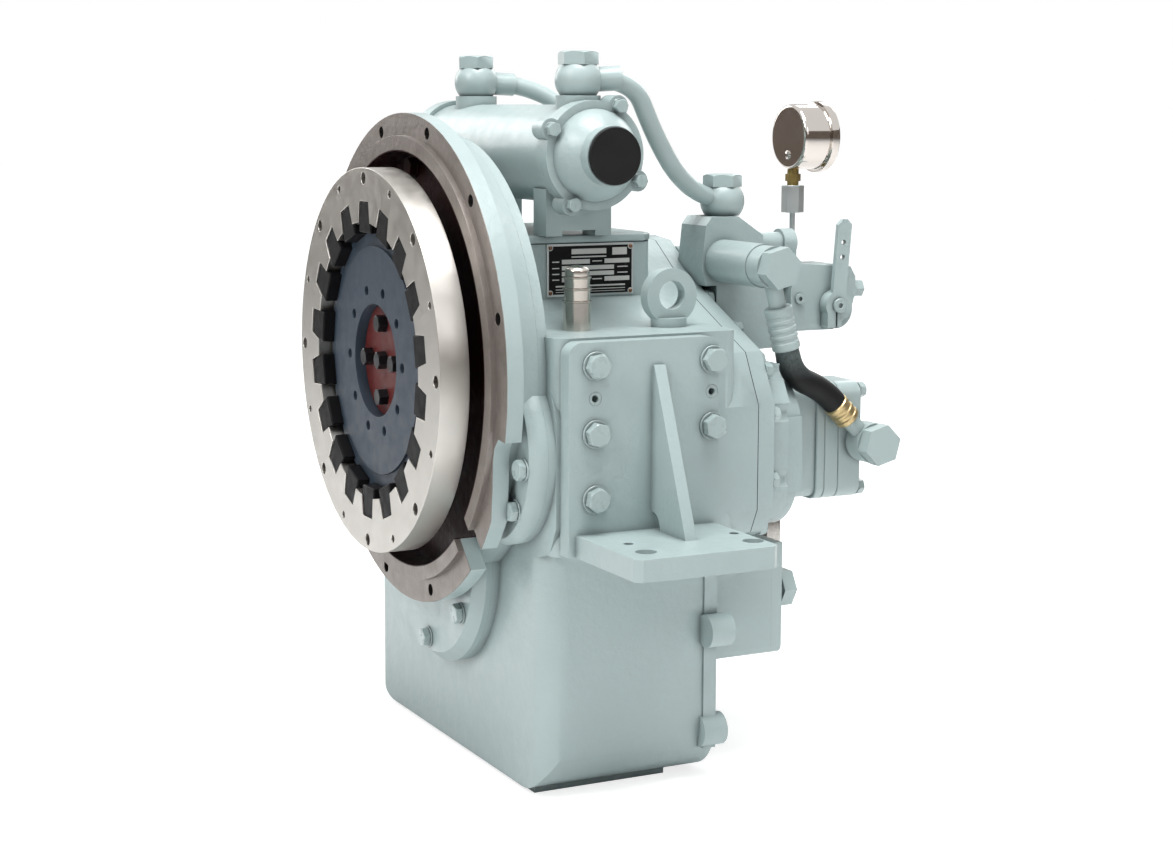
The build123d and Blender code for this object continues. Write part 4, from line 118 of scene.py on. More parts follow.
def feed(node: Node, values: dict[object, Value]) -> None:
    """Give a node's inputs their values and links.

    Args:
        node: The node.
        values: A number, colour, source socket or source node for each input, by its name or
            number. A source node stands for its first output in use.
    """
    for socket, value in values.items():
        if isinstance(value, Node):
            value = next(output for output in value.outputs if output.enabled)
        if isinstance(value, Socket):
            node.id_data.links.new(value, node.inputs[socket])
        else:
            node.inputs[socket].default_value = value


def add_node(tree: Tree, kind: str, values: dict[object, Value], **settings: object) -> Node:
    """Add one node with its settings, socket values and links.

    Args:
        tree: The node tree to add to.
        kind: The node's type, without the word ShaderNode.
        values: What its inputs are fed, as in feed.
        settings: Properties of the node itself.

    Returns:
        The new node.
    """
    made = tree.nodes.new("ShaderNode" + kind)
    for name, value in settings.items():
        setattr(made, name, value)
    feed(made, values)
    return made


def new_material(name: str) -> tuple[bpy.types.Material, Node, Socket]:
    """Make an empty node material.

    Args:
        name: Its name.

    Returns:
        The material, its surface shader and its object coordinates.
    """
    made = bpy.data.materials.new(name)
    made.use_nodes = True
    tree = made.node_tree
    return made, tree.nodes["Principled BSDF"], add_node(tree, "TexCoord", {}).outputs["Object"]


def per_metre(millimetres: float) -> float:
    """Texture scale at which one feature is about this many millimetres wide."""
    return 1.0 / (millimetres * MM)


@dataclass(frozen=True)
class Finish:
    """A surface finish: what it is made of, how it was made and how it reads to the eye."""

    name: str
    colour: str
    shade: str
    roughness: float
    roughness_spread: float = 0.06
    metallic: float = 0.0
    coat: float = 0.0
    coat_roughness: float = 0.15
    patch_mm: float = 60.0
    wave_mm: float = 6.0
    wave_height_mm: float = 0.0
    grain_mm: float = 1.2
    grain_height_mm: float = 0.0
    # How dark the painted shade in corners gets and how far it reaches
    crevice: float = 0.0
    crevice_mm: float = 5.0
    turning_mm: float = 0.0
    turning_height_mm: float = 0.0
    specular: float = 0.5

    def material(self) -> bpy.types.Material:
        """Build the finish once and return it.

        Returns:
            The material with its node tree.
        """
        known = bpy.data.materials.get(self.name)
        if known:
            return known
        made, shader, where = new_material(self.name)
        feed(shader, {
            "Metallic": self.metallic, "Coat Weight": self.coat, "Coat Roughness": self.coat_roughness,
            "Specular IOR Level": self.specular,
        })
        self.paint(shader, where)
        self.relief(shader, where)
        return made

    def paint(self, shader: Node, where: Socket) -> None:
        """Lay the colour and the gloss, both uneven over patches of a few centimetres, and paint shade into
        corners.

        Args:
            shader: The material's surface shader.
            where: Object coordinates.
        """
        tree = shader.id_data
        patch = add_node(tree, "TexNoise", {
            "Vector": where, "Scale": per_metre(self.patch_mm), "Detail": 4.0,
        })
        tones = {0: patch, 6: linear(self.colour), 7: linear(self.shade)}
        colour = add_node(tree, "Mix", tones, data_type="RGBA")
        # Painted shade: the colour darkens where ambient occlusion finds a corner, crease or joint
        if self.crevice > 0:
            sky = add_node(tree, "AmbientOcclusion", {"Distance": self.crevice_mm * MM}, samples=6)
            reach = {0: sky.outputs["AO"], 1: SHADE_FULL, 2: SHADE_NONE, 3: 1.0 - self.crevice, 4: 1.0}
            corner_shaded = {0: 1.0, 6: colour, 7: add_node(tree, "MapRange", reach)}
            colour = add_node(tree, "Mix", corner_shaded, data_type="RGBA", blend_type="MULTIPLY")
        feed(shader, {"Base Color": colour})
        low, high = self.roughness - self.roughness_spread, self.roughness + self.roughness_spread
        gloss = add_node(tree, "TexNoise", {
            "Vector": where, "Scale": per_metre(self.wave_mm * 2), "Detail": 3.0,
        })
        spread = {0: gloss, 1: NOISE_LOW, 2: NOISE_HIGH, 3: low, 4: high}
        feed(shader, {"Roughness": add_node(tree, "MapRange", spread)})

    def relief(self, shader: Node, where: Socket) -> None:
        """Raise the surface by its patterns, one on top of the other.

        Args:
            shader: The material's surface shader.
            where: Object coordinates.
        """
        below: dict[object, Value] = {}
        for pattern, height in self.patterns(shader.id_data, where):
            values = {"Height": pattern, "Distance": height * MM, "Strength": 1.0, **below}
            below = {"Normal": add_node(shader.id_data, "Bump", values)}
        feed(shader, below)

    def patterns(self, tree: Tree, where: Socket) -> Iterator[tuple[Node, float]]:
        """Draw the patterns that raise the surface: slow waves, fine grain and turning marks.

        Args:
            tree: The material's nodes.
            where: Object coordinates.

        Yields:
            Each pattern's last node and its height in millimetres.
        """
        for size, height in ((self.wave_mm, self.wave_height_mm), (self.grain_mm, self.grain_height_mm)):
            if height > 0:
                values = {"Vector": where, "Scale": per_metre(size), "Detail": 2.0}
                yield add_node(tree, "TexNoise", values), height
        if self.turning_height_mm > 0:
            x, y, z = add_node(tree, "SeparateXYZ", {0: where}).outputs
            flat = add_node(tree, "CombineXYZ", {0: x, 2: z})
            radius = add_node(tree, "VectorMath", {0: flat}, operation="LENGTH")
            travel = add_node(tree, "Math", {0: radius, 1: y}, operation="ADD")
            turns = 2 * math.pi * per_metre(self.turning_mm)
            angle = add_node(tree, "Math", {0: travel, 1: turns}, operation="MULTIPLY")
            yield add_node(tree, "Math", {0: angle}, operation="SINE"), self.turning_height_mm


# Enamel sprayed thick over a sand casting: satin, slightly wavy, with the sand's grain under it
CAST_ENAMEL = Finish(
    "grey_enamel_on_cast_iron", "A1B0B0", "99A9A9", 0.4, 0.08, coat=0.25, coat_roughness=0.2,
    wave_mm=8.0, wave_height_mm=0.6, grain_mm=1.5, grain_height_mm=0.12, crevice=0.55, crevice_mm=10.0,
)
# The same enamel over machined or drawn steel: smoother, only orange peel
SMOOTH_ENAMEL = Finish(
    "grey_enamel_on_steel", "A3B2B2", "9BABAA", 0.38, 0.07, coat=0.18, coat_roughness=0.2,
    wave_height_mm=0.16, grain_mm=1.4, grain_height_mm=0.03, crevice=0.55, crevice_mm=8.0,
)
# Turned aluminium: bright, with fine rings from the lathe tool, drawn a little coarser than real
TURNED_ALUMINIUM = Finish(
    "turned_aluminium", "C3C0BB", "BAB7B1", 0.36, 0.05, metallic=1.0,
    grain_mm=2.0, grain_height_mm=0.004, turning_mm=1.3, turning_height_mm=0.01,
)
# Moulded nitrile rubber: matt black with a little dust
BLACK_RUBBER = Finish(
    "moulded_black_rubber", "08080A", "0E0E10", 0.5, 0.08, specular=0.12, grain_mm=1.5,
    grain_height_mm=0.03, patch_mm=18.0,
)
# Slate-blue machine enamel on turned iron
SLATE_ENAMEL = Finish(
    "slate_enamel_on_turned_iron", "36404B", "2F3944", 0.42, 0.07, specular=0.25,
    grain_mm=1.6, grain_height_mm=0.03, turning_mm=2.4, turning_height_mm=0.01, crevice=0.3,
)
# Brick-red oxide primer, matt
RED_PRIMER = Finish(
    "red_oxide_primer", "5C211F", "4E1B19", 0.45, 0.08, specular=0.3, grain_mm=1.4,
    grain_height_mm=0.04, crevice=0.4,
)
# The dark red primer of the bowl, laid on the bolt heads inside it: partly primer, partly painted shade so
# that they sink into the bowl's shade
BOWL_PRIMER_AND_SHADE = Finish(
    "dark_red_primer_and_painted_shade", "2E1512", "240F0D", 0.55, 0.08, specular=0.2, grain_mm=1.4, grain_height_mm=0.05
)
# Black oxide on alloy steel bolts: dark, oily gloss
BLACK_OXIDE = Finish("black_oxide_steel", "1C1D20", "2A2B2E", 0.35, 0.08, metallic=0.7, grain_height_mm=0.015)
# Ground steel with a thin film of oil
GROUND_STEEL = Finish(
    "ground_steel", "B4B2AE", "9E9B96", 0.26, 0.08, metallic=1.0, turning_mm=1.1, turning_height_mm=0.006
)
# Zinc-plated pressed steel
ZINC_PLATE = Finish(
    "zinc_plated_steel", "C4CACA", "B6BDBD", 0.34, metallic=0.9, grain_mm=2.0, grain_height_mm=0.012
)
# Polished chrome on the gauge case
CHROME = Finish("polished_chrome", "D0CAC4", "C8C2BC", 0.09, 0.02, metallic=1.0)
# Turned brass
BRASS = Finish("turned_brass", "93804E", "7F6E42", 0.36, 0.07, metallic=0.9, patch_mm=6.0)
# Yellow passivate over zinc: gold that turns duller in patches
GOLD_PASSIVATE = Finish("yellow_passivated_steel", "C2AE80", "AD9A74", 0.34, 0.08, metallic=0.9, patch_mm=6.0)
# Injection-moulded black plastic plug
BLACK_PLASTIC = Finish("black_moulded_plastic", "09090A", "0E0E0F", 0.45, 0.05, specular=0.3)
# The same enamel brushed over bolt heads, a little thicker and glossier, with strong painted shade in their
# corners
BOLT_ENAMEL = Finish(
    "grey_enamel_on_bolts", "A2B1B0", "96A6A6", 0.3, 0.08, coat=0.35,
    wave_mm=4.0, wave_height_mm=0.16, grain_height_mm=0.04, crevice=0.8, crevice_mm=4.0,
)
# Bright turned steel of the breather nipple
BRIGHT_STEEL = Finish("bright_turned_steel", "CFC9C1", "C6C0B7", 0.22, 0.03, metallic=1.0)
# Blackened sheet of the rating plate
BLACK_ENAMEL = Finish(
    "black_enamel_on_sheet", "050506", "09090A", 0.42, specular=0.15, grain_mm=1.0, grain_height_mm=0.01
)
# Bare anodised fields of the rating plate
PLATE_SILVER = Finish(
    "anodised_plate", "C9C9C6", "BEBEBB", 0.42, 0.05, metallic=0.4, grain_mm=0.8, grain_height_mm=0.004
)
# Printing ink and painted needle
BLACK_INK = Finish("black_printing_ink", "0B0B0B", "101010", 0.5, 0.05)
# White baked enamel of the dial
DIAL_ENAMEL = Finish("white_dial_enamel", "ECEBE6", "E6E5E0", 0.35, 0.04, patch_mm=20.0)
# Tarnished copper of the rivets
COPPER = Finish("tarnished_copper", "7E6150", "6E5343", 0.3, 0.07, metallic=1.0, patch_mm=4.0)
# Oiled gasket paper, dark at the joint
GASKET_PAPER = Finish("oiled_gasket_paper", "2C2D2B", "232422", 0.7, 0.05)


@dataclass(frozen=True)
class ClearGlass(Finish):
    """Window glass: nothing but a clear shader with faint smears in its gloss."""

    def paint(self, shader: Node, where: Socket) -> None:
        """Make the shader clear.

        Args:
            shader: The material's surface shader.
            where: Object coordinates.
        """
        super().paint(shader, where)
        feed(shader, {"Transmission Weight": 1.0, "IOR": 1.5})


# Flat window glass of the gauge
GLASS = ClearGlass("window_glass", "FFFFFF", "FCFDFD", 0.03, 0.02)


@dataclass(frozen=True)
class OversprayFinish(Finish):
    """Black rubber with a mist of grey enamel that thins out downwards."""

    mist: str = "6C7777"
    mist_top_mm: float = 14.0
    mist_end_mm: float = -14.0
    mist_share: float = 0.7
    speck_mm: float = 2.2
    speck_high: float = 0.6
    speck_least: float = 0.55

    def paint(self, shader: Node, where: Socket) -> None:
        """Lay the mist over the rubber by height, broken up in specks.

        Args:
            shader: The material's surface shader.
            where: Object coordinates.
        """
        super().paint(shader, where)
        tree = shader.id_data
        rubber = shader.inputs["Base Color"].links[0].from_socket
        height = add_node(tree, "SeparateXYZ", {0: where}).outputs[2]
        reach = {0: height, 1: self.mist_end_mm * MM, 2: self.mist_top_mm * MM, 3: 0.0, 4: self.mist_share}
        fall = add_node(tree, "MapRange", reach)
        speck = add_node(tree, "TexNoise", {
            "Vector": where, "Scale": per_metre(self.speck_mm), "Detail": 4.0,
        })
        specks = {0: speck, 1: NOISE_LOW, 2: self.speck_high, 3: self.speck_least, 4: 1.0}
        broken = add_node(tree, "MapRange", specks)
        share = add_node(tree, "Math", {0: fall, 1: broken}, operation="MULTIPLY")
        mixed = add_node(tree, "Mix", {0: share, 6: rubber, 7: linear(self.mist)}, data_type="RGBA")
        feed(shader, {"Base Color": mixed})


# Extruded hose cover: matt, with the faint print of its wrapping cloth and overspray at its top
HOSE_COVER = OversprayFinish(
    "wrapped_hose_rubber", "0C0D0E", "131415", 0.48, specular=0.22, grain_mm=0.9, grain_height_mm=0.05
)


@dataclass(frozen=True)
class BellFinish(Finish):
    """Enamel outside, bare turned iron on the engine's side and red primer inside the bell."""

    bare: str = "8D8681"
    bare_shade: str = "736C67"
    bare_metallic: float = 0.6
    bare_specular: float = 0.5
    bare_depth: float = 0.5
    stain_mm: float = 22.0
    wander: float = 0.15
    wander_mm: float = 14.0
    primer: str = "2C1214"
    primer_shade: str = "240E0E"
    primer_specular: float = 0.12
    bore: float = 192.0
    floor: float = 24.6
    # Near-black colour of the bolt holes' walls: painted shade
    hole: str = "1F1C1A"
    hole_circle: float = 214.3
    hole_radius: float = 6.2
    hole_pitch: float = 30.0
    hole_depths: tuple[float, float] = (0.4, 15.3)

    def paint(self, shader: Node, where: Socket) -> None:
        """Lay the three coats by their place on the casting.

        Args:
            shader: The material's surface shader.
            where: Object coordinates.
        """
        super().paint(shader, where)
        tree = shader.id_data
        colour = shader.inputs["Base Color"].links[0].from_socket
        parts = add_node(tree, "SeparateXYZ", {0: where})
        x, y, z = parts.outputs
        flat = add_node(tree, "CombineXYZ", {0: x, 2: z})
        radius = add_node(tree, "VectorMath", {0: flat}, operation="LENGTH")
        ragged = add_node(tree, "TexNoise", {
            "Vector": where, "Scale": per_metre(self.wander_mm), "Detail": 4.0,
        })
        sway = {0: ragged, 1: NOISE_LOW, 2: NOISE_HIGH, 3: -self.wander * MM, 4: self.wander * MM}
        depth = add_node(tree, "Math", {0: y, 1: add_node(tree, "MapRange", sway)}, operation="ADD")
        face = add_node(tree, "Math", {0: depth, 1: self.bare_depth * MM}, operation="LESS_THAN")
        inside = add_node(tree, "Math", {0: radius, 1: self.bore * MM}, operation="LESS_THAN")
        shallow = add_node(tree, "Math", {0: y, 1: self.floor * MM}, operation="LESS_THAN")
        bowl = add_node(tree, "Math", {0: inside, 1: shallow}, operation="MULTIPLY")
        stain = add_node(tree, "TexNoise", {
            "Vector": where, "Scale": per_metre(self.stain_mm), "Detail": 6.0,
        })
        iron, red = (
            add_node(tree, "Mix", {0: stain, 6: linear(light), 7: linear(dark)}, data_type="RGBA")
            for light, dark in ((self.bare, self.bare_shade), (self.primer, self.primer_shade))
        )
        # The bolt holes' walls are painted near black: painted shade
        holes = self.holes(parts, radius)
        for share, coat in ((holes, linear(self.hole)), (face, iron), (bowl, red)):
            colour = add_node(tree, "Mix", {0: share, 6: colour, 7: coat}, data_type="RGBA")
        outside = add_node(tree, "Math", {0: 1.0, 1: bowl}, operation="SUBTRACT")
        shine = add_node(tree, "Math", {0: face, 1: outside}, operation="MULTIPLY")
        metal = add_node(tree, "Math", {0: shine, 1: self.bare_metallic}, operation="MULTIPLY")
        uncoated = add_node(tree, "Math", {0: face, 1: bowl}, operation="MAXIMUM")
        film = add_node(tree, "MapRange", {0: uncoated, 1: 0.0, 2: 1.0, 3: self.coat, 4: 0.0})
        gloss = {0: bowl, 1: 0.0, 2: 1.0, 3: self.bare_specular, 4: self.primer_specular}
        feed(shader, {
            "Base Color": colour, "Metallic": metal, "Coat Weight": film,
            "Specular IOR Level": add_node(tree, "MapRange", gloss),
        })

    def holes(self, parts: Node, radius: Node) -> Node:
        """Mark the walls of the flange's bolt holes, which are painted near black as painted shade.

        Args:
            parts: The separated coordinates.
            radius: Distance from the shaft's axis.

        Returns:
            A node that gives one in the holes and nought elsewhere.
        """
        tree = parts.id_data
        x, y, z = parts.outputs
        half = math.radians(self.hole_pitch / 2)
        angle = add_node(tree, "Math", {0: z, 1: x}, operation="ARCTAN2")
        folded = add_node(tree, "Math", {0: angle, 1: half}, operation="PINGPONG")
        off = add_node(tree, "Math", {0: half, 1: folded}, operation="SUBTRACT")
        across = add_node(tree, "Math", {0: off, 1: radius}, operation="MULTIPLY")
        out = add_node(tree, "Math", {0: radius, 1: self.hole_circle * MM}, operation="SUBTRACT")
        gap = add_node(tree, "CombineXYZ", {0: across, 1: out})
        length = add_node(tree, "VectorMath", {0: gap}, operation="LENGTH")
        near = add_node(tree, "Math", {0: length, 1: self.hole_radius * MM}, operation="LESS_THAN")
        low, high = (depth * MM for depth in self.hole_depths)
        reach = {0: y, 1: (low + high) / 2, 2: (high - low) / 2}
        deep = add_node(tree, "Math", reach, operation="COMPARE")
        return add_node(tree, "Math", {0: near, 1: deep}, operation="MULTIPLY")


# The bell casting: grey enamel outside, bare iron face stained by oil, red primer in the bowl, painted shade
# in the bolt holes
BELL_FINISH = BellFinish(
    "bell_enamel_iron_and_primer", "A1B0B0", "99A9A9", 0.4, 0.08, coat=0.25, coat_roughness=0.2,
    wave_mm=8.0, wave_height_mm=0.5, grain_mm=1.5, grain_height_mm=0.1, crevice=0.5, crevice_mm=10.0,
)

FINISH_OF_SLOT = {
    Slot.PAINT: CAST_ENAMEL,
    Slot.ZINC: ZINC_PLATE,
    Slot.RING: TURNED_ALUMINIUM,
    Slot.RUBBER: BLACK_RUBBER,
    Slot.SLATE: SLATE_ENAMEL,
    Slot.RED: RED_PRIMER,
    Slot.BLACK_STEEL: BLACK_OXIDE,
    Slot.BRIGHT_STEEL: GROUND_STEEL,
    Slot.LINING: BRASS,
    Slot.GASKET: GASKET_PAPER,
    Slot.CHROME: CHROME,
    Slot.GLASS: GLASS,
    Slot.NEEDLE: BLACK_INK,
    Slot.BRASS: BRASS,
    Slot.PLASTIC: BLACK_PLASTIC,
    Slot.COPPER: COPPER,
}


# Modelling helpers

def clear_selection() -> None:
    """Leave edit mode and select nothing."""
    if bpy.context.object and bpy.context.object.mode != "OBJECT":
        bpy.ops.object.mode_set(mode="OBJECT")
    bpy.ops.object.select_all(action="DESELECT")


def pick(*objects: Piece) -> None:
    """Select some objects and nothing else.

    Args:
        objects: The objects; the first one becomes active.
    """
    clear_selection()
    for made in objects:
        made.select_set(True)
    bpy.context.view_layer.objects.active = objects[0]


@contextmanager
def editing(target: Piece) -> Iterator[None]:
    """Hold an object in edit mode, with all of its mesh selected at first.

    Args:
        target: The object.

    Yields:
        Nothing; what runs meanwhile edits the mesh.
    """
    pick(target)
    bpy.ops.object.mode_set(mode="EDIT")
    bpy.ops.mesh.select_all(action="SELECT")
    yield
    bpy.ops.object.mode_set(mode="OBJECT")


def apply_modifier(target: Piece, kind: str, **settings: object) -> None:
    """Add a modifier and apply it at once.

    Args:
        target: The object to change.
        kind: The modifier's type.
        settings: Its properties.
    """
    pick(target)
    modifier = target.modifiers.new(kind.lower(), kind)
    for name, value in settings.items():
        setattr(modifier, name, value)
    bpy.ops.object.modifier_apply(modifier=modifier.name)


def settle(target: Piece, smooth: float = 35.0) -> Piece:
    """Put the place of an object into its mesh and shade it smooth up to an angle.

    Args:
        target: The object.
        smooth: The largest angle in degrees that is still shaded smooth.

    Returns:
        The same object.
    """
    pick(target)
    bpy.ops.object.transform_apply()
    bpy.ops.object.shade_smooth_by_angle(angle=math.radians(smooth))
    apply_modifier(target, "WEIGHTED_NORMAL", keep_sharp=True)
    return target


def rounded(
    target: Piece, width: float, segments: int = 2, angle: float = 30.0, smooth: float = 35.0
) -> Piece:
    """Round the edges of an object and settle it.

    Args:
        target: The object.
        width: The rounding's width in millimetres.
        segments: How many strips it has.
        angle: The smallest edge angle in degrees that is rounded.
        smooth: The largest angle in degrees that is still shaded smooth.

    Returns:
        The same object.
    """
    apply_modifier(
        target, "BEVEL", width=width * MM, segments=segments, limit_method="ANGLE",
        angle_limit=math.radians(angle), miter_outer="MITER_ARC",
    )
    return settle(target, smooth)


def move(target: Piece, matrix: Matrix) -> Piece:
    """Move an object and put its new place into its mesh.

    Args:
        target: The object, modelled at the origin.
        matrix: Where it goes, in metres.

    Returns:
        The same object.
    """
    pick(target)
    target.matrix_world = matrix
    bpy.ops.object.transform_apply()
    return target


def aim(target: Piece, place: Point, direction: Point, turn: float = 0.0) -> Piece:
    """Move an object modelled along Z to its place.

    Args:
        target: The object.
        place: Where its origin goes, in millimetres.
        direction: Where its Z axis points.
        turn: Its turn about that axis in degrees.

    Returns:
        The same object.
    """
    swing = Vector(UP).rotation_difference(Vector(direction).normalized()).to_matrix().to_4x4()
    twist = Matrix.Rotation(math.radians(turn), 4, "Z")
    return move(target, Matrix.Translation(Vector(place) * MM) @ swing @ twist)


def joined(parts: Sequence[Piece]) -> Piece:
    """Join several settled objects into one.

    Args:
        parts: The objects; the first one stays.

    Returns:
        The joined object.
    """
    pick(*parts)
    if len(parts) > 1:
        bpy.ops.object.join()
    return parts[0]


def discard(targets: Iterable[Piece]) -> None:
    """Remove objects that only served as models or measures."""
    for made in list(targets):
        bpy.data.objects.remove(made)


def own_copy(source: Piece) -> Piece:
    """Copy an object with a mesh of its own, free of its body and its marks.

    Args:
        source: The object.

    Returns:
        The copy.
    """
    made = source.copy()
    made.data = source.data.copy()
    made.parent = None
    for key in list(made.keys()):
        del made[key]
    bpy.context.scene.collection.objects.link(made)
    return made


def clean_copy(node: str) -> Piece:
    """Copy a solid's mesh with its points merged and its flat faces whole.

    Args:
        node: The solid's name.

    Returns:
        The copy.
    """
    made = own_copy(frame["nodes"][node])
    with editing(made):
        bpy.ops.mesh.remove_doubles(threshold=MERGE_MM * MM)
        bpy.ops.mesh.normals_make_consistent(inside=False)
        bpy.ops.mesh.dissolve_limited(angle_limit=math.radians(FLAT_DEGREES))
    return made


def paint(target: Piece, finish: Finish) -> Piece:
    """Give an object one finish in place of what it had.

    Args:
        target: The object.
        finish: Its finish.

    Returns:
        The same object.
    """
    target.data.materials.clear()
    target.data.materials.append(finish.material())
    return target


def dress(
    target: Piece, name: str, finish: Optional[Finish], replaced: Sequence[str] = (),
    body: Body = Body.HOUSING, slot: Slot = Slot.PAINT,
) -> None:
    """Name a finished piece, give it its finish and let it ride on its body.

    Args:
        target: The finished piece.
        name: Its plain name.
        finish: Its finish, or nothing where its parts already have theirs.
        replaced: The solids it stands for.
        body: The body it rides on.
        slot: Not used.
    """
    target.name = name
    target.data.name = name
    if finish:
        paint(target, finish)
    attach(target, body.value)
    if replaced:
        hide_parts(*replaced)
    LOG.info("%s: %d faces", name, len(target.data.polygons))


@dataclass(frozen=True)
class Box:
    """A box along the axes, in millimetres."""

    low: tuple[float, float, float]
    high: tuple[float, float, float]

    @classmethod
    def of(cls, target: Piece) -> "Box":
        """Measure a settled object."""
        points = [vertex.co / MM for vertex in target.data.vertices]
        return cls(*(tuple(end(p[k] for p in points) for k in range(3)) for end in (min, max)))

    @classmethod
    def of_node(cls, node: str) -> "Box":
        """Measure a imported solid."""
        low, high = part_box(node)
        return cls(tuple(low / MM), tuple(high / MM))

    @property
    def centre(self) -> Vector:
        """The middle of the box."""
        return (Vector(self.low) + Vector(self.high)) / 2

    @property
    def size(self) -> Vector:
        """The box's lengths."""
        return Vector(self.high) - Vector(self.low)

    @property
    def side(self) -> int:
        """The side of the gearbox that the box lies on: 1 for the right, -1 for the left."""
        return 1 if self.centre.x > 0 else -1

    def seat(self, axis: int, side: int, depth: float) -> tuple[Vector, Vector]:
        """Find where the head sits on the bolt that this box holds.

        Args:
            axis: The bolt's axis: 0, 1 or 2 for X, Y or Z.
            side: 1 where the head points up that axis, -1 where it points down it.
            depth: How far inside the bolt's end the head starts.

        Returns:
            The foot of the head and the direction in which it points.
        """
        place, direction = self.centre, Vector(ORIGIN)
        place[axis] = (self.high if side > 0 else self.low)[axis] - side * depth
        direction[axis] = side
        return place, direction


def loose_parts(node: str) -> list[Piece]:
    """Split a copy of a grouped node into its separate solids.

    Args:
        node: The node's name.

    Returns:
        One object for each solid.
    """
    with editing(clean_copy(node)):
        bpy.ops.mesh.separate(type="LOOSE")
    return list(bpy.context.selected_objects)


def part_boxes(node: str) -> list[Box]:
    """Measure the separate solids of a grouped node.

    Args:
        node: The node's name.

    Returns:
        One box for each solid.
    """
    parts = loose_parts(node)
    boxes = [Box.of(part) for part in parts]
    discard(parts)
    return boxes


def block(low: Point, high: Point, rounding: float = 0.0) -> Piece:
    """Add a box between two corners in millimetres.

    Args:
        low: The lowest corner.
        high: The highest corner.
        rounding: The width of its rounded edges.

    Returns:
        The settled box.
    """
    low, high = Vector(low) * MM, Vector(high) * MM
    clear_selection()
    bpy.ops.mesh.primitive_cube_add(size=1.0, location=(low + high) / 2, scale=high - low)
    made = settle(bpy.context.object)
    return rounded(made, rounding) if rounding else made


def turned(
    profile: Sequence[tuple[float, float]], place: Point = ORIGIN, direction: Point = UP, sides: int = 64
) -> Piece:
    """Turn a piece from its profile, ring by ring.

    Args:
        profile: Radius and height of each ring in millimetres.
        place: Where height nought lies.
        direction: Where the axis points.
        sides: How many sides each ring has.

    Returns:
        The settled piece.
    """
    radius, height = profile[0]
    clear_selection()
    bpy.ops.mesh.primitive_circle_add(
        vertices=sides, radius=radius * MM, fill_type="NGON", location=(0, 0, height * MM)
    )
    made = bpy.context.object
    bpy.ops.object.transform_apply()
    with editing(made):
        for wide, high in profile[1:]:
            bpy.ops.mesh.extrude_region_move(TRANSFORM_OT_translate={"value": (0, 0, (high - height) * MM)})
            share = wide / radius
            bpy.ops.transform.resize(value=(share, share, 1), center_override=(0, 0, high * MM))
            radius, height = wide, high
        bpy.ops.mesh.select_all(action="SELECT")
        bpy.ops.mesh.normals_make_consistent(inside=False)
    return settle(aim(made, place, direction))


@dataclass(frozen=True)
class HexHead:
    """A chamfered hexagon head on its washer."""

    width: float
    height: float
    washer_radius: float = 0.0
    washer_thickness: float = 0.0
    edge: float = 0.35
    sharpest: float = 25.0
    crown_share: float = 0.475
    neck_share: float = 0.44
    neck_overlap: float = 0.2
    washer_lip: float = 0.4
    washer_gap: float = 0.3

    def model(self) -> Piece:
        """Model the head upright at the origin.

        Returns:
            The head.
        """
        base, top = self.washer_thickness, self.height
        size = {"depth": (top - base) * MM, "location": (0, 0, (base + top) / 2 * MM)}
        corner, crown = self.width / math.sqrt(3), self.crown_share * self.width
        skirt = crown + (top - base) * math.sqrt(3)
        clear_selection()
        bpy.ops.mesh.primitive_cylinder_add(vertices=6, radius=corner * MM, **size)
        head = settle(bpy.context.object)
        clear_selection()
        bpy.ops.mesh.primitive_cone_add(vertices=48, radius1=skirt * MM, radius2=crown * MM, **size)
        cone = settle(bpy.context.object)
        apply_modifier(head, "BOOLEAN", operation="INTERSECT", object=cone, solver="EXACT")
        discard([cone])
        rounded(head, self.edge, 1, self.sharpest, self.sharpest)
        if not self.washer_radius:
            return head
        rim, lip = self.washer_radius, min(self.washer_lip, base / 3)
        thick, neck = base - self.washer_gap, self.neck_share * self.width
        washer = turned([(rim - lip, 0), (rim, lip), (rim, thick - lip), (rim - lip, thick)], sides=48)
        return joined([head, washer, turned([(neck, 0), (neck, base + self.neck_overlap)], sides=32)])


def place_copies(
    model: Piece, places: Sequence[tuple[Vector, Vector]], first_turn: float = 7.0, step: float = 37.0
) -> Piece:
    """Copy a model to each place, every copy with its own mesh and its own turn, and join the copies.

    Args:
        model: The model at the origin; it is removed.
        places: Place in millimetres and direction of each copy.
        first_turn: The turn of the first copy in degrees.
        step: How much further each next copy is turned.

    Returns:
        The joined copies.
    """
    copies = [
        aim(own_copy(model), place, direction, first_turn + index * step)
        for index, (place, direction) in enumerate(places)
    ]
    discard([model])
    return joined(copies)


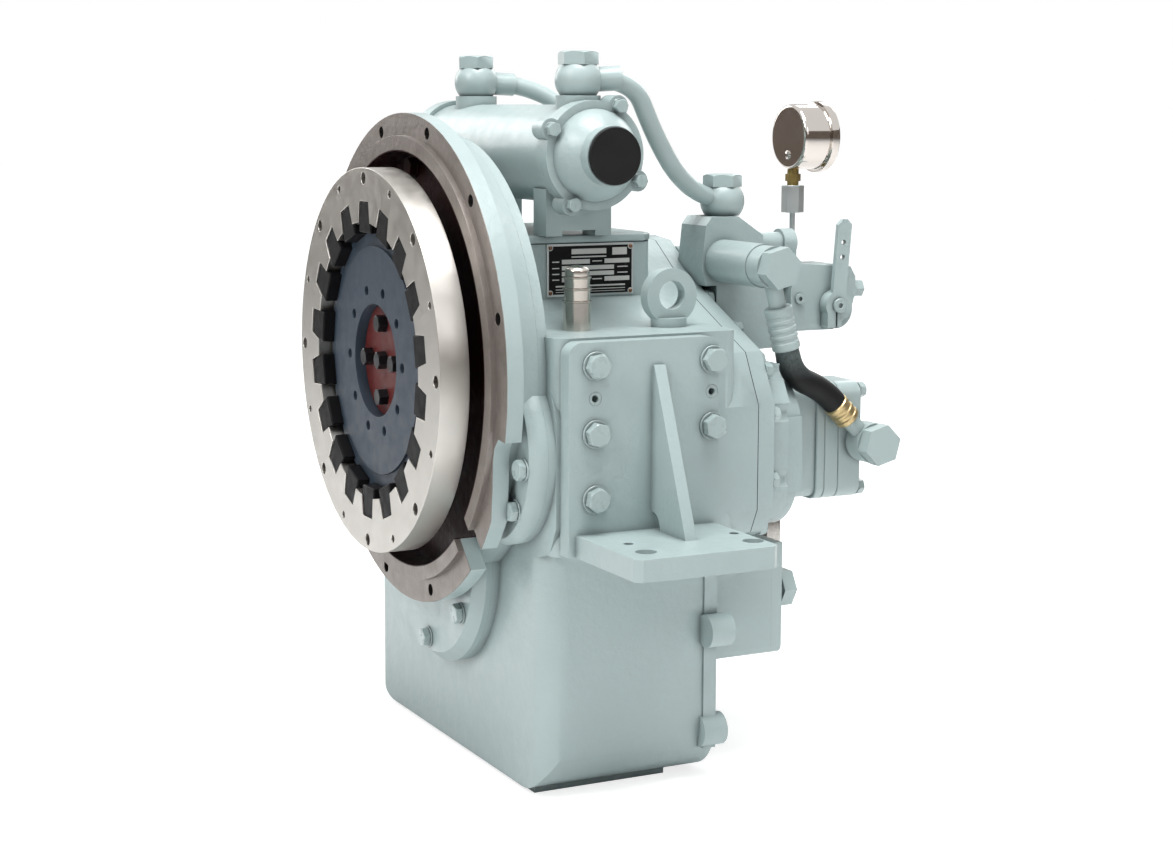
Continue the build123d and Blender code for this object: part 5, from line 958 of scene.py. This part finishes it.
@dataclass
class Studio:
    """Camera, lights and floor."""

    lens: float = 64.734
    sensor: float = 36.0
    sight: float = 50.0
    place: tuple[float, float, float] = (1.80628, -0.72293, 0.23031)
    azimuth: float = 63.24668
    elevation: float = 8.503605
    roll: float = 0.161372
    lamps_aim: tuple[float, float, float] = (0.0, 0.15, -0.05)
    room_light: float = 0.25
    floor_size: float = 40.0
    floor_z: float = -0.375
    floor_lift: float = 0.76
    floor_near: float = 0.7
    floor_far: float = 2.2
    band_radius: float = 7.0
    band_height: float = 2.7
    band_middle: float = 1.05
    fibre_mm: float = 1.5
    weave_mm: float = 4.0

    def build(self) -> None:
        """Make the studio."""
        self.camera()
        self.lamps()
        self.room()
        self.floor()
        self.horizon()
        bpy.context.scene.view_settings.view_transform = "Standard"

    def camera(self) -> None:
        """Stand the camera where the photograph was taken from."""
        turn, lift, tilt = (math.radians(v) for v in (self.azimuth, self.elevation, self.roll))
        back = Vector((math.sin(turn) * math.cos(lift), -math.cos(turn) * math.cos(lift), math.sin(lift)))
        right = Vector((math.cos(turn), math.sin(turn), 0.0))
        up = back.cross(right)
        right, up = right * math.cos(tilt) + up * math.sin(tilt), up * math.cos(tilt) - right * math.sin(tilt)
        data = bpy.data.cameras.new("camera")
        data.sensor_width = self.sensor
        data.lens = self.lens
        data.clip_end = self.sight
        made = bpy.data.objects.new("camera", data)
        rows = [(right[k], up[k], back[k], self.place[k]) for k in range(3)]
        made.matrix_world = Matrix((*rows, (0, 0, 0, 1)))
        bpy.context.scene.collection.objects.link(made)
        bpy.context.scene.camera = made

    def lamps(self) -> None:
        """Hang soft boxes round the object."""
        boxes = (
            ("key", (0.9, -2.6, 2.2), 1.5, 60.0),
            ("side", (3.0, 0.9, 1.3), 1.3, 9.0),
            ("top", (0.7, 0.15, 2.7), 1.7, 108.0),
            ("rear", (-1.8, 2.6, 1.6), 1.6, 26.0),
            ("left", (-2.8, -0.6, 1.0), 1.4, 22.0),
        )
        for name, place, size, power in boxes:
            data = bpy.data.lights.new(name, "AREA")
            data.shape = "SQUARE"
            data.size = size
            data.energy = power
            made = bpy.data.objects.new(name, data)
            made.location = place
            made.rotation_euler = (Vector(self.lamps_aim) - Vector(place)).to_track_quat("-Z", "Y").to_euler()
            bpy.context.scene.collection.objects.link(made)

    def room(self) -> None:
        """Set the room's light: low on the object, and white where the camera, metal or glass sees it."""
        world = bpy.data.worlds.new("room")
        world.use_nodes = True
        tree = world.node_tree
        tree.nodes.clear()
        path = add_node(tree, "LightPath", {})
        seen: Value = path.outputs["Is Camera Ray"]
        for ray in ("Is Glossy Ray", "Is Transmission Ray"):
            seen = add_node(tree, "Math", {0: seen, 1: path.outputs[ray]}, operation="MAXIMUM")
        strength = add_node(tree, "MapRange", {0: seen, 1: 0.0, 2: 1.0, 3: self.room_light, 4: 1.0})
        light = add_node(tree, "Background", {"Color": (1, 1, 1, 1), "Strength": strength})
        add_node(tree, "OutputWorld", {0: light})
        bpy.context.scene.world = world

    def floor(self) -> None:
        """Lay the floor: white paper, lifted to plain white further away, with soft shadows near."""
        clear_selection()
        bpy.ops.mesh.primitive_plane_add(size=self.floor_size, location=(0, 0, self.floor_z))
        made = bpy.context.object
        made.name = "floor"
        paper, shader, where = new_material("matt_white_paper")
        tree = paper.node_tree
        fibre = add_node(tree, "TexNoise", {"Vector": where, "Scale": per_metre(self.fibre_mm)})
        seen = add_node(tree, "LightPath", {}).outputs["Is Camera Ray"]
        tones = {0: fibre, 6: linear("FAFAFA"), 7: linear("FDFDFD")}
        tone = add_node(tree, "Mix", tones, data_type="RGBA")
        thinned = add_node(tree, "Mix", {0: seen, 6: tone, 7: linear("B4B4B4")}, data_type="RGBA")
        away = add_node(tree, "VectorMath", {0: where}, operation="LENGTH")
        reach = {0: away, 1: self.floor_near, 2: self.floor_far, 3: self.floor_lift, 4: 1.0}
        glow = add_node(tree, "MapRange", reach, interpolation_type="SMOOTHSTEP")
        lift = add_node(tree, "Math", {0: seen, 1: glow}, operation="MULTIPLY")
        feed(shader, {
            "Base Color": thinned, "Roughness": 0.9, "Specular IOR Level": 0.0,
            "Emission Color": (1, 1, 1, 1), "Emission Strength": lift,
        })
        made.data.materials.append(paper)

    def horizon(self) -> None:
        """Stand a dark band round the room that only bright metal mirrors."""
        clear_selection()
        bpy.ops.mesh.primitive_cylinder_add(
            vertices=96, radius=self.band_radius, depth=self.band_height, end_fill_type="NOTHING",
            location=(0, 0, self.band_middle),
        )
        made = bpy.context.object
        made.name = "horizon"
        cloth, shader, where = new_material("dark_studio_cloth")
        tree = cloth.node_tree
        weave = add_node(tree, "TexNoise", {
            "Vector": where, "Scale": per_metre(self.weave_mm), "Detail": 3.0,
        })
        tones = {0: weave, 6: linear("A2958B"), 7: linear("AC9F95")}
        feed(shader, {"Base Color": add_node(tree, "Mix", tones, data_type="RGBA"), "Roughness": 0.9})
        made.data.materials.append(cloth)
        made.visible_camera = made.visible_diffuse = made.visible_shadow = False


# Sub-assemblies

@dataclass(frozen=True)
class Dressed:
    """A solid that keeps its form and gets rounded edges."""

    node: str
    finish: Finish
    rounding: float
    segments: int = 2
    body: Body = Body.HOUSING
    slot: Slot = Slot.PAINT

    def build(self) -> None:
        """Build and dress the piece."""
        piece = rounded(clean_copy(self.node), self.rounding, self.segments)
        dress(piece, self.node + "_finished", self.finish, [self.node], self.body, self.slot)


@dataclass
class Castings:
    """The painted castings, their joints and the machined rear flange."""

    sand_cast: float = 2.6
    die_cast: float = 1.6
    machined: float = 0.8
    forged: float = 3.6

    def build(self) -> None:
        """Build the castings."""
        for piece in (
            Dressed("gear_case", CAST_ENAMEL, self.sand_cast, 3),
            Dressed("rear_cover", CAST_ENAMEL, self.die_cast),
            Dressed("top_cover", CAST_ENAMEL, self.die_cast),
            Dressed("right_bracket", CAST_ENAMEL, self.sand_cast, 3),
            Dressed("left_bracket", CAST_ENAMEL, self.sand_cast, 3),
            Dressed("bell_housing", BELL_FINISH, self.machined),
            Dressed("output_flange", GROUND_STEEL, self.machined, 2, Body.OUTPUT, Slot.BRIGHT_STEEL),
            Dressed("strainer_housing", CAST_ENAMEL, self.die_cast),
            Dressed("strainer_lid", SMOOTH_ENAMEL, self.machined),
            Dressed("pump_body", SMOOTH_ENAMEL, self.machined),
            Dressed("pump_end_cover", SMOOTH_ENAMEL, self.machined),
            Dressed("valve_body", CAST_ENAMEL, self.die_cast),
            Dressed("service_fittings", SMOOTH_ENAMEL, self.machined),
            Dressed("lifting_eye", SMOOTH_ENAMEL, self.forged, 3),
        ):
            piece.build()


@dataclass
class Coupling:
    """Ring, rubber blocks, hub, shaft flange and its bolts."""

    ring_edge: float = 0.7
    block_edge: float = 1.6
    tapped_count: int = 8
    tapped_circle: float = 167.0
    tapped_radius: float = 3.4
    tapped_depth: float = 14.0
    drill_lead: float = 1.0
    bolt: HexHead = HexHead(14.0, 9.0)

    def build(self) -> None:
        """Build the coupling."""
        self.ring()
        for node, finish, edge, segments, slot in (
            ("coupling_blocks", BLACK_RUBBER, self.block_edge, 3, Slot.RUBBER),
            ("coupling_hub", SLATE_ENAMEL, self.ring_edge, 2, Slot.SLATE),
            ("shaft_flange", RED_PRIMER, self.ring_edge, 2, Slot.RED),
        ):
            Dressed(node, finish, edge, segments, Body.INPUT, slot).build()
        self.bolts()

    def ring(self) -> None:
        """The ring, with the small tapped holes halfway between its bolt holes."""
        ring = clean_copy("coupling_ring")
        front = Box.of(ring).low[1] - self.drill_lead
        hole = [(self.tapped_radius, 0), (self.tapped_radius, self.tapped_depth)]
        drills = []
        for index in range(self.tapped_count):
            angle = 2 * math.pi * (index + 0.5) / self.tapped_count
            place = (self.tapped_circle * math.cos(angle), front, self.tapped_circle * math.sin(angle))
            drills.append(turned(hole, place, AFT, 24))
        drill = joined(drills)
        apply_modifier(ring, "BOOLEAN", operation="DIFFERENCE", object=drill, solver="EXACT")
        discard([drill])
        rounded(ring, self.ring_edge)
        dress(ring, "coupling_ring_finished", TURNED_ALUMINIUM, ["coupling_ring"], Body.INPUT, Slot.RING)

    def bolts(self) -> None:
        """Put a chamfered head on each of the five bolts."""
        seats = [box.seat(1, -1, box.high[1] - box.low[1]) for box in part_boxes("hub_bolts")]
        heads = place_copies(self.bolt.model(), seats)
        dress(heads, "hub_bolt_heads", BLACK_OXIDE, ["hub_bolts"], Body.INPUT, Slot.BLACK_STEEL)


@dataclass
class Fasteners:
    """Painted bolts of the brackets, the bell, the rear cover, the pump and the cooler.

    The fields bracket_head, housing_head and cap_head are the heights of the solid heads.
    """

    bracket_bolt: HexHead = HexHead(19.0, 10.5, 12.2, 2.6)
    bell_bolt: HexHead = HexHead(16.0, 8.4, 10.0, 2.0)
    cover_bolt: HexHead = HexHead(13.0, 7.5, 7.6, 1.4)
    cap_bolt: HexHead = HexHead(11.0, 7.5, 6.6, 1.4)
    bracket_head: float = 10.0
    housing_head: float = 7.0
    cap_head: float = 6.0
    bell_reach: float = 100.0
    bowl_radius: float = 196.0
    dowel_wide: float = 20.0
    dowel_edge: float = 0.6
    screw_edge: float = 0.4
    shank_radius: float = 7.4
    shank_length: float = 22.0

    def build(self) -> None:
        """Build every group."""
        self.bracket()
        self.housing()
        self.cooler()

    def bracket(self) -> None:
        """Bolts and hollow dowels of both brackets."""
        bolts, dowels = [], []
        for part in loose_parts("bracket_fasteners"):
            (bolts if Box.of(part).size.y > self.dowel_wide else dowels).append(part)
        boxes = [Box.of(part) for part in bolts]
        discard(bolts)
        seats = [box.seat(0, box.side, self.bracket_head) for box in boxes]
        shank = [(self.shank_radius, 0.0), (self.shank_radius, self.shank_length)]
        shanks = [turned(shank, place, -direction, 32) for place, direction in seats]
        heads = joined([place_copies(self.bracket_bolt.model(), seats), *shanks])
        dress(heads, "bracket_bolt_heads", BOLT_ENAMEL, ["bracket_fasteners"])
        dress(rounded(joined(dowels), self.dowel_edge), "bracket_dowels", BOLT_ENAMEL)

    def housing(self) -> None:
        """Bolts of the bell, the cover and the pump, and the selector's socket screws."""
        seats: dict[str, list[tuple[Vector, Vector]]] = {"bowl": [], "bell": [], "cover": []}
        screws = []
        for part in loose_parts("housing_bolts"):
            box = Box.of(part)
            if box.size.x > box.size.y:
                screws.append(part)
                continue
            if box.low[1] < self.bell_reach:
                inside = math.hypot(box.centre.x, box.centre.z) < self.bowl_radius
                seats["bowl" if inside else "bell"].append(box.seat(1, -1, self.housing_head))
            else:
                seats["cover"].append(box.seat(1, 1, self.housing_head))
            discard([part])
        for name, bolt, finish, replaced in (
            ("bell", self.bell_bolt, BOLT_ENAMEL, ["housing_bolts"]),
            # The heads inside the bowl take its dark primer, partly as painted shade
            ("bowl", self.bell_bolt, BOWL_PRIMER_AND_SHADE, []),
            ("cover", self.cover_bolt, BOLT_ENAMEL, []),
        ):
            dress(place_copies(bolt.model(), seats[name]), name + "_bolt_heads", finish, replaced)
        dress(rounded(joined(screws), self.screw_edge), "selector_screws", BOLT_ENAMEL)

    def cooler(self) -> None:
        """Bolts of both cooler caps."""
        seats = [box.seat(0, box.side, self.cap_head) for box in part_boxes("cooler_cap_bolts")]
        heads = place_copies(self.cap_bolt.model(), seats)
        dress(heads, "cooler_cap_bolt_heads", BOLT_ENAMEL, ["cooler_cap_bolts"])


@dataclass
class Cooler:
    """Oil cooler with its caps, plugs, unions and pipes."""

    edge: float = 1.6
    pipe_edge: float = 1.2
    plug_edge: float = 0.8
    hexagon: HexHead = HexHead(32.0, 12.0)
    turns: tuple[float, float] = (10.0, 11.0)

    def build(self) -> None:
        """Build the cooler."""
        for node, finish, edge, slot in (
            ("cooler_shell", SMOOTH_ENAMEL, self.edge, Slot.PAINT),
            ("cooler_caps", CAST_ENAMEL, self.edge, Slot.PAINT),
            ("cooler_pipes", SMOOTH_ENAMEL, self.pipe_edge, Slot.PAINT),
            ("port_plugs", BLACK_PLASTIC, self.plug_edge, Slot.PLASTIC),
        ):
            Dressed(node, finish, edge, slot=slot).build()
        seats = [box.seat(2, 1, self.hexagon.height) for box in part_boxes("banjo_bolts")]
        heads = place_copies(self.hexagon.model(), seats, *self.turns)
        dress(heads, "banjo_bolt_heads", SMOOTH_ENAMEL, ["banjo_bolts"])


@dataclass
class Hose:
    """Pressure hose with its painted and its passivated end."""

    edge: float = 1.0
    swell: float = 2.0
    ferrule_limit: float = 38.0
    ferrule_edge: float = 1.2
    upper_lean: float = 14.5
    lower_lean: float = 45.0
    crimp_pitch: float = 7.0
    crimp_depth: float = 0.8
    crimp_margin: float = 6.0
    crimp_shape: tuple[tuple[float, float], ...] = ((0.15, 0.0), (0.3, 1.0), (0.7, 1.0), (0.85, 0.0))

    def build(self) -> None:
        """Build the hose and its fittings."""
        cover = clean_copy("pressure_hose")
        with editing(cover):
            bpy.ops.transform.shrink_fatten(value=self.swell * MM)
        dress(settle(cover), "pressure_hose_finished", HOSE_COVER, ["pressure_hose"], slot=Slot.RUBBER)
        unions, ferrules = [], []
        for part in loose_parts("hose_fittings"):
            size = Box.of(part).size
            (ferrules if max(size.x, size.y) < self.ferrule_limit else unions).append(part)
        dress(rounded(joined(unions), self.edge), "hose_unions", SMOOTH_ENAMEL, ["hose_fittings"])
        lower, upper = sorted((Box.of(part) for part in ferrules), key=lambda box: box.centre.z)
        dress(self.ferrule(upper, self.upper_lean), "upper_ferrule", SMOOTH_ENAMEL)
        dress(self.ferrule(lower, self.lower_lean), "lower_ferrule", GOLD_PASSIVATE)
        discard(ferrules)

    def ferrule(self, box: Box, lean: float) -> Piece:
        """Turn a sleeve with its crimps along the line of a solid one.

        Args:
            box: The box round the solid sleeve.
            lean: The line's angle from straight down, in degrees.

        Returns:
            The sleeve.
        """
        radius, angle, edge = box.size.x / 2, math.radians(lean), self.ferrule_edge
        length = (box.size.z - box.size.x * math.sin(angle)) / math.cos(angle)
        along = Vector((0, math.sin(angle), -math.cos(angle)))
        profile = [(radius - edge, 0.0), (radius, edge)]
        count = int((length - self.crimp_margin) // self.crimp_pitch)
        start = (length - count * self.crimp_pitch) / 2
        for index in range(count):
            low = start + index * self.crimp_pitch
            for share, sink in self.crimp_shape:
                profile.append((radius - sink * self.crimp_depth, low + share * self.crimp_pitch))
        profile += [(radius, length - edge), (radius - edge, length)]
        return turned(profile, box.centre - along * length / 2, along)


@dataclass
class Selector:
    """Plate and lever of the control valve, with the screw in the spool's end."""

    edge: float = 0.7
    screw_radius: float = 7.0
    screw_height: float = 2.2
    screw_sink: float = 0.05
    socket_radius: float = 2.4

    def build(self) -> None:
        """Build the selector."""
        Dressed("selector_plate", SMOOTH_ENAMEL, self.edge).build()
        Dressed("selector_lever", SMOOTH_ENAMEL, self.edge, body=Body.SELECTOR).build()
        self.screw()

    def screw(self) -> None:
        """The flat screw head with its round socket on the spool's stem."""
        rim, top, socket = self.screw_radius, self.screw_height, self.socket_radius
        profile = [
            (rim, 0), (rim, top - 0.5), (rim - 0.5, top), (socket + 0.3, top),
            (socket, top - 0.3), (socket, 0.6), (0.5, 0.3),
        ]
        place, direction = Box.of_node("selector_spool").seat(0, 1, self.screw_sink)
        dress(turned(profile, place, direction, 48), "selector_end_screw", BOLT_ENAMEL, body=Body.SELECTOR)


@dataclass
class Gauge:
    """Steel pressure gauge: case, bezel, dial with its marks and numbers, and glass.

    The two rows of ticks are the length and half the width of a short mark and of a long one.
    """

    plug_drop: float = 17.0
    pane_edge: float = 0.3
    adaptor_edge: float = 0.8
    stem_edge: float = 0.5
    dial_depth: float = 11.6
    dial_margin: float = 4.8
    dial_thickness: float = 1.2
    sweep: float = 270.0
    sweep_start: float = 225.0
    tick_count: int = 30
    major_every: int = 5
    tick_margin: float = 2.2
    tick_height: float = 0.12
    ticks: tuple[tuple[float, float], tuple[float, float]] = ((2.4, 0.14), (4.0, 0.28))
    number_margin: float = 10.2
    number_size: float = 5.0
    number_height: float = 0.06
    centre: Vector = field(init=False)
    rim: float = field(init=False)
    depth: float = field(init=False)

    def __post_init__(self) -> None:
        """Measure the solid case, whose axis all of the gauge shares."""
        box = Box.of_node("gauge_case")
        self.centre = Vector((box.centre.x, box.low[1], box.centre.z))
        self.rim, self.depth = box.size.x / 2, box.size.y

    def build(self) -> None:
        """Build the gauge."""
        self.case()
        self.dial()
        self.stem()
        pane = rounded(clean_copy("gauge_glass"), self.pane_edge)
        dress(pane, "gauge_pane", GLASS, ["gauge_glass"], slot=Slot.GLASS)

    def case(self) -> None:
        """The deep-drawn case with its rolled bezel and the plug in its back."""
        rim, barrel, depth = self.rim, self.rim - 3.0, self.depth
        shell = turned(
            [
                (barrel - 3.2, 0), (barrel - 1.4, 0.5), (barrel - 0.4, 1.6), (barrel, 3.4),
                (barrel, depth - 9.6), (barrel + 0.6, depth - 9.4), (rim - 0.5, depth - 9.2),
                (rim, depth - 8.6), (rim, depth - 2.4), (rim - 0.7, depth - 0.7), (rim - 2.0, depth),
                (barrel - 3.0, depth), (barrel - 3.2, depth - 1.4), (barrel - 1.6, depth - 2.0),
                (barrel - 1.6, depth - 11.9),
            ],
            self.centre, AFT, 96,
        )
        dress(shell, "gauge_shell", CHROME, ["gauge_case"], slot=Slot.CHROME)
        low = self.centre - Vector((0, 0, self.plug_drop))
        plug = turned([(4.2, 0.4), (4.2, -0.8), (3.6, -1.2), (1.0, -1.4)], low, AFT, 32)
        dress(plug, "gauge_relief_plug", CHROME, slot=Slot.CHROME)

    def dial(self) -> None:
        """White dial with its scale."""
        front, radius = self.depth - self.dial_depth, self.rim - self.dial_margin
        disc = turned([(radius, front - self.dial_thickness), (radius, front)], self.centre, AFT, 96)
        dress(disc, "gauge_dial", DIAL_ENAMEL, slot=Slot.CHROME)
        marks, top = [], radius - self.tick_margin
        for index in range(self.tick_count + 1):
            angle = math.radians(self.sweep_start - self.sweep * index / self.tick_count)
            major = index % self.major_every == 0
            length, half = self.ticks[major]
            mark = block((-half, front, top - length), (half, front + self.tick_height, top))
            marks.append(move(mark, Matrix.Translation(self.centre * MM) @ Matrix.Rotation(angle, 4, "Y")))
            if major:
                marks.append(self.number(str(index), angle, radius - self.number_margin, front))
        dress(joined(marks), "gauge_scale", BLACK_INK, slot=Slot.NEEDLE)

    def number(self, text: str, angle: float, radius: float, front: float) -> Piece:
        """Write one upright number of the scale.

        Args:
            text: The number.
            angle: Its place on the scale.
            radius: Its distance from the axis.
            front: The dial's face.

        Returns:
            The number as a mesh.
        """
        clear_selection()
        bpy.ops.object.text_add()
        made = bpy.context.object
        made.data.body = text
        made.data.size = self.number_size * MM
        made.data.extrude = self.number_height * MM
        made.data.align_x = made.data.align_y = "CENTER"
        pick(made)
        bpy.ops.object.convert(target="MESH")
        spot = Vector((math.sin(angle) * radius, front + self.number_height, math.cos(angle) * radius))
        upright = Matrix(((-1, 0, 0, 0), (0, 0, 1, 0), (0, 1, 0, 0), (0, 0, 0, 1)))
        return move(made, Matrix.Translation((self.centre + spot) * MM) @ upright)

    def stem(self) -> None:
        """Brass stem above the plated adaptor and its tube."""
        lower, upper = sorted(loose_parts("gauge_stem"), key=lambda part: Box.of(part).centre.z)
        adaptor = rounded(lower, self.adaptor_edge)
        dress(adaptor, "gauge_adaptor", ZINC_PLATE, ["gauge_stem"], slot=Slot.BRASS)
        dress(rounded(upper, self.stem_edge), "gauge_stem_brass", BRASS, slot=Slot.BRASS)


@dataclass
class Nameplate:
    """Blank rating plate riveted to the turret: metal sheet, black panel and bare fields.

    The fields are shares of the plate: front edge, upper edge, rear edge and lower edge.
    """

    front: float = 96.5
    rear: float = 184.5
    low: float = 61.5
    high: float = 109.0
    face: float = 100.0
    thickness: float = 0.9
    sheet_sink: float = 0.3
    sheet_edge: float = 0.25
    border: float = 2.0
    panel_sink: float = 0.2
    field_sink: float = 0.1
    step: float = 0.12
    rivet_margin: float = 3.4
    fields: tuple[tuple[float, float, float, float], ...] = (
        (0.28, 0.1, 0.68, 0.2), (0.28, 0.24, 0.68, 0.265), (0.75, 0.09, 0.92, 0.23),
        (0.06, 0.33, 0.14, 0.35), (0.17, 0.3, 0.49, 0.385), (0.52, 0.33, 0.63, 0.35),
        (0.66, 0.3, 0.95, 0.385),
        (0.06, 0.45, 0.14, 0.47), (0.17, 0.42, 0.77, 0.5), (0.81, 0.45, 0.93, 0.47),
        (0.06, 0.56, 0.14, 0.58), (0.17, 0.53, 0.77, 0.61), (0.81, 0.56, 0.93, 0.58),
        (0.06, 0.67, 0.14, 0.69), (0.17, 0.64, 0.49, 0.725), (0.52, 0.67, 0.63, 0.69),
        (0.66, 0.64, 0.95, 0.725),
        (0.1, 0.79, 0.9, 0.82), (0.1, 0.86, 0.9, 0.875), (0.1, 0.91, 0.9, 0.92),
    )

    def build(self) -> None:
        """Build the plate with its panel, fields and rivets as one piece."""
        top, edge = self.face + self.thickness, self.border
        sheet = block(
            (self.face - self.sheet_sink, self.front, self.low), (top, self.rear, self.high), self.sheet_edge
        )
        panel = block(
            (top - self.panel_sink, self.front + edge, self.low + edge),
            (top + self.step, self.rear - edge, self.high - edge),
        )
        bare = joined([self.bare_field(top + self.step, *shares) for shares in self.fields])
        dress(joined([
            paint(sheet, ZINC_PLATE), paint(panel, BLACK_ENAMEL), paint(bare, PLATE_SILVER), self.rivets(top)
        ]), "rating_plate", None, slot=Slot.BRIGHT_STEEL)

    def bare_field(self, x: float, left: float, top: float, right: float, bottom: float) -> Piece:
        """One bare field.

        Args:
            x: The panel's face.
            left: Its front edge as a share of the plate's width.
            top: Its upper edge as a share of the plate's height.
            right: Its rear edge.
            bottom: Its lower edge.

        Returns:
            The field.
        """
        wide, tall = self.rear - self.front, self.high - self.low
        return block(
            (x - self.field_sink, self.front + left * wide, self.high - bottom * tall),
            (x + self.step, self.front + right * wide, self.high - top * tall),
        )

    def rivets(self, x: float) -> Piece:
        """Four domed rivets in the corners.

        Args:
            x: The sheet's face.

        Returns:
            The rivets.
        """
        margin = self.rivet_margin
        places = [
            (Vector((x, y, z)), Vector(RIGHT))
            for y in (self.front + margin, self.rear - margin)
            for z in (self.low + margin, self.high - margin)
        ]
        collar = paint(turned([(2.7, 0), (2.6, 0.35)], sides=24), PLATE_SILVER)
        dome = paint(turned([(1.9, 0), (1.8, 0.8), (1.3, 1.3), (0.5, 1.5)], sides=24), COPPER)
        return place_copies(joined([collar, dome]), places)


@dataclass
class Breather:
    """Ribbed bright nipple with a domed top on the right pad."""

    height: float = 57.0
    radius: float = 12.0
    rib_heights: tuple[float, ...] = (24.0, 35.0, 45.0)
    rib: float = 2.2
    rib_foot: float = 0.4
    rib_round: float = 0.3
    lip: float = 1.1
    taper: float = 0.35
    undercut: float = 0.5
    dome: float = 5.5
    dome_turn: float = 0.96

    def build(self) -> None:
        """Turn the nipple with its ribs and its dome."""
        foot, up = Box.of_node("breather").seat(2, 1, self.height)
        radius, profile = self.radius, [(self.radius, 0.0)]
        for low in self.rib_heights:
            rib = radius + self.lip
            profile += [(radius, low), (rib, low + self.rib_foot), (rib, low + self.rib - self.rib_round)]
            radius -= self.taper
            profile.append((radius - self.undercut, low + self.rib))
        shoulder = self.height - self.dome
        for share in (0.0, 0.25, 0.5, 0.75, 1.0):
            angle = share * math.pi / 2 * self.dome_turn
            profile.append((radius * math.cos(angle), shoulder + self.dome * math.sin(angle)))
        nipple = turned(profile, foot, up, 72)
        dress(nipple, "breather_nipple", BRIGHT_STEEL, ["breather"], slot=Slot.BRIGHT_STEEL)


def dress_solids() -> None:
    """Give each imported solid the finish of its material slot."""
    for row in frame["record"]["subparts"]:
        paint(frame["nodes"][row["node"]], FINISH_OF_SLOT[Slot(row["material_slot"])])


def main() -> None:
    """Build the studio and dress the gearbox."""
    logging.basicConfig(level=logging.INFO, format="%(name)s %(message)s")
    Studio().build()
    dress_solids()
    for assembly in (Castings, Fasteners, Coupling, Cooler, Hose, Selector, Gauge, Nameplate, Breather):
        assembly().build()


if __name__ == "__main__":
    main()
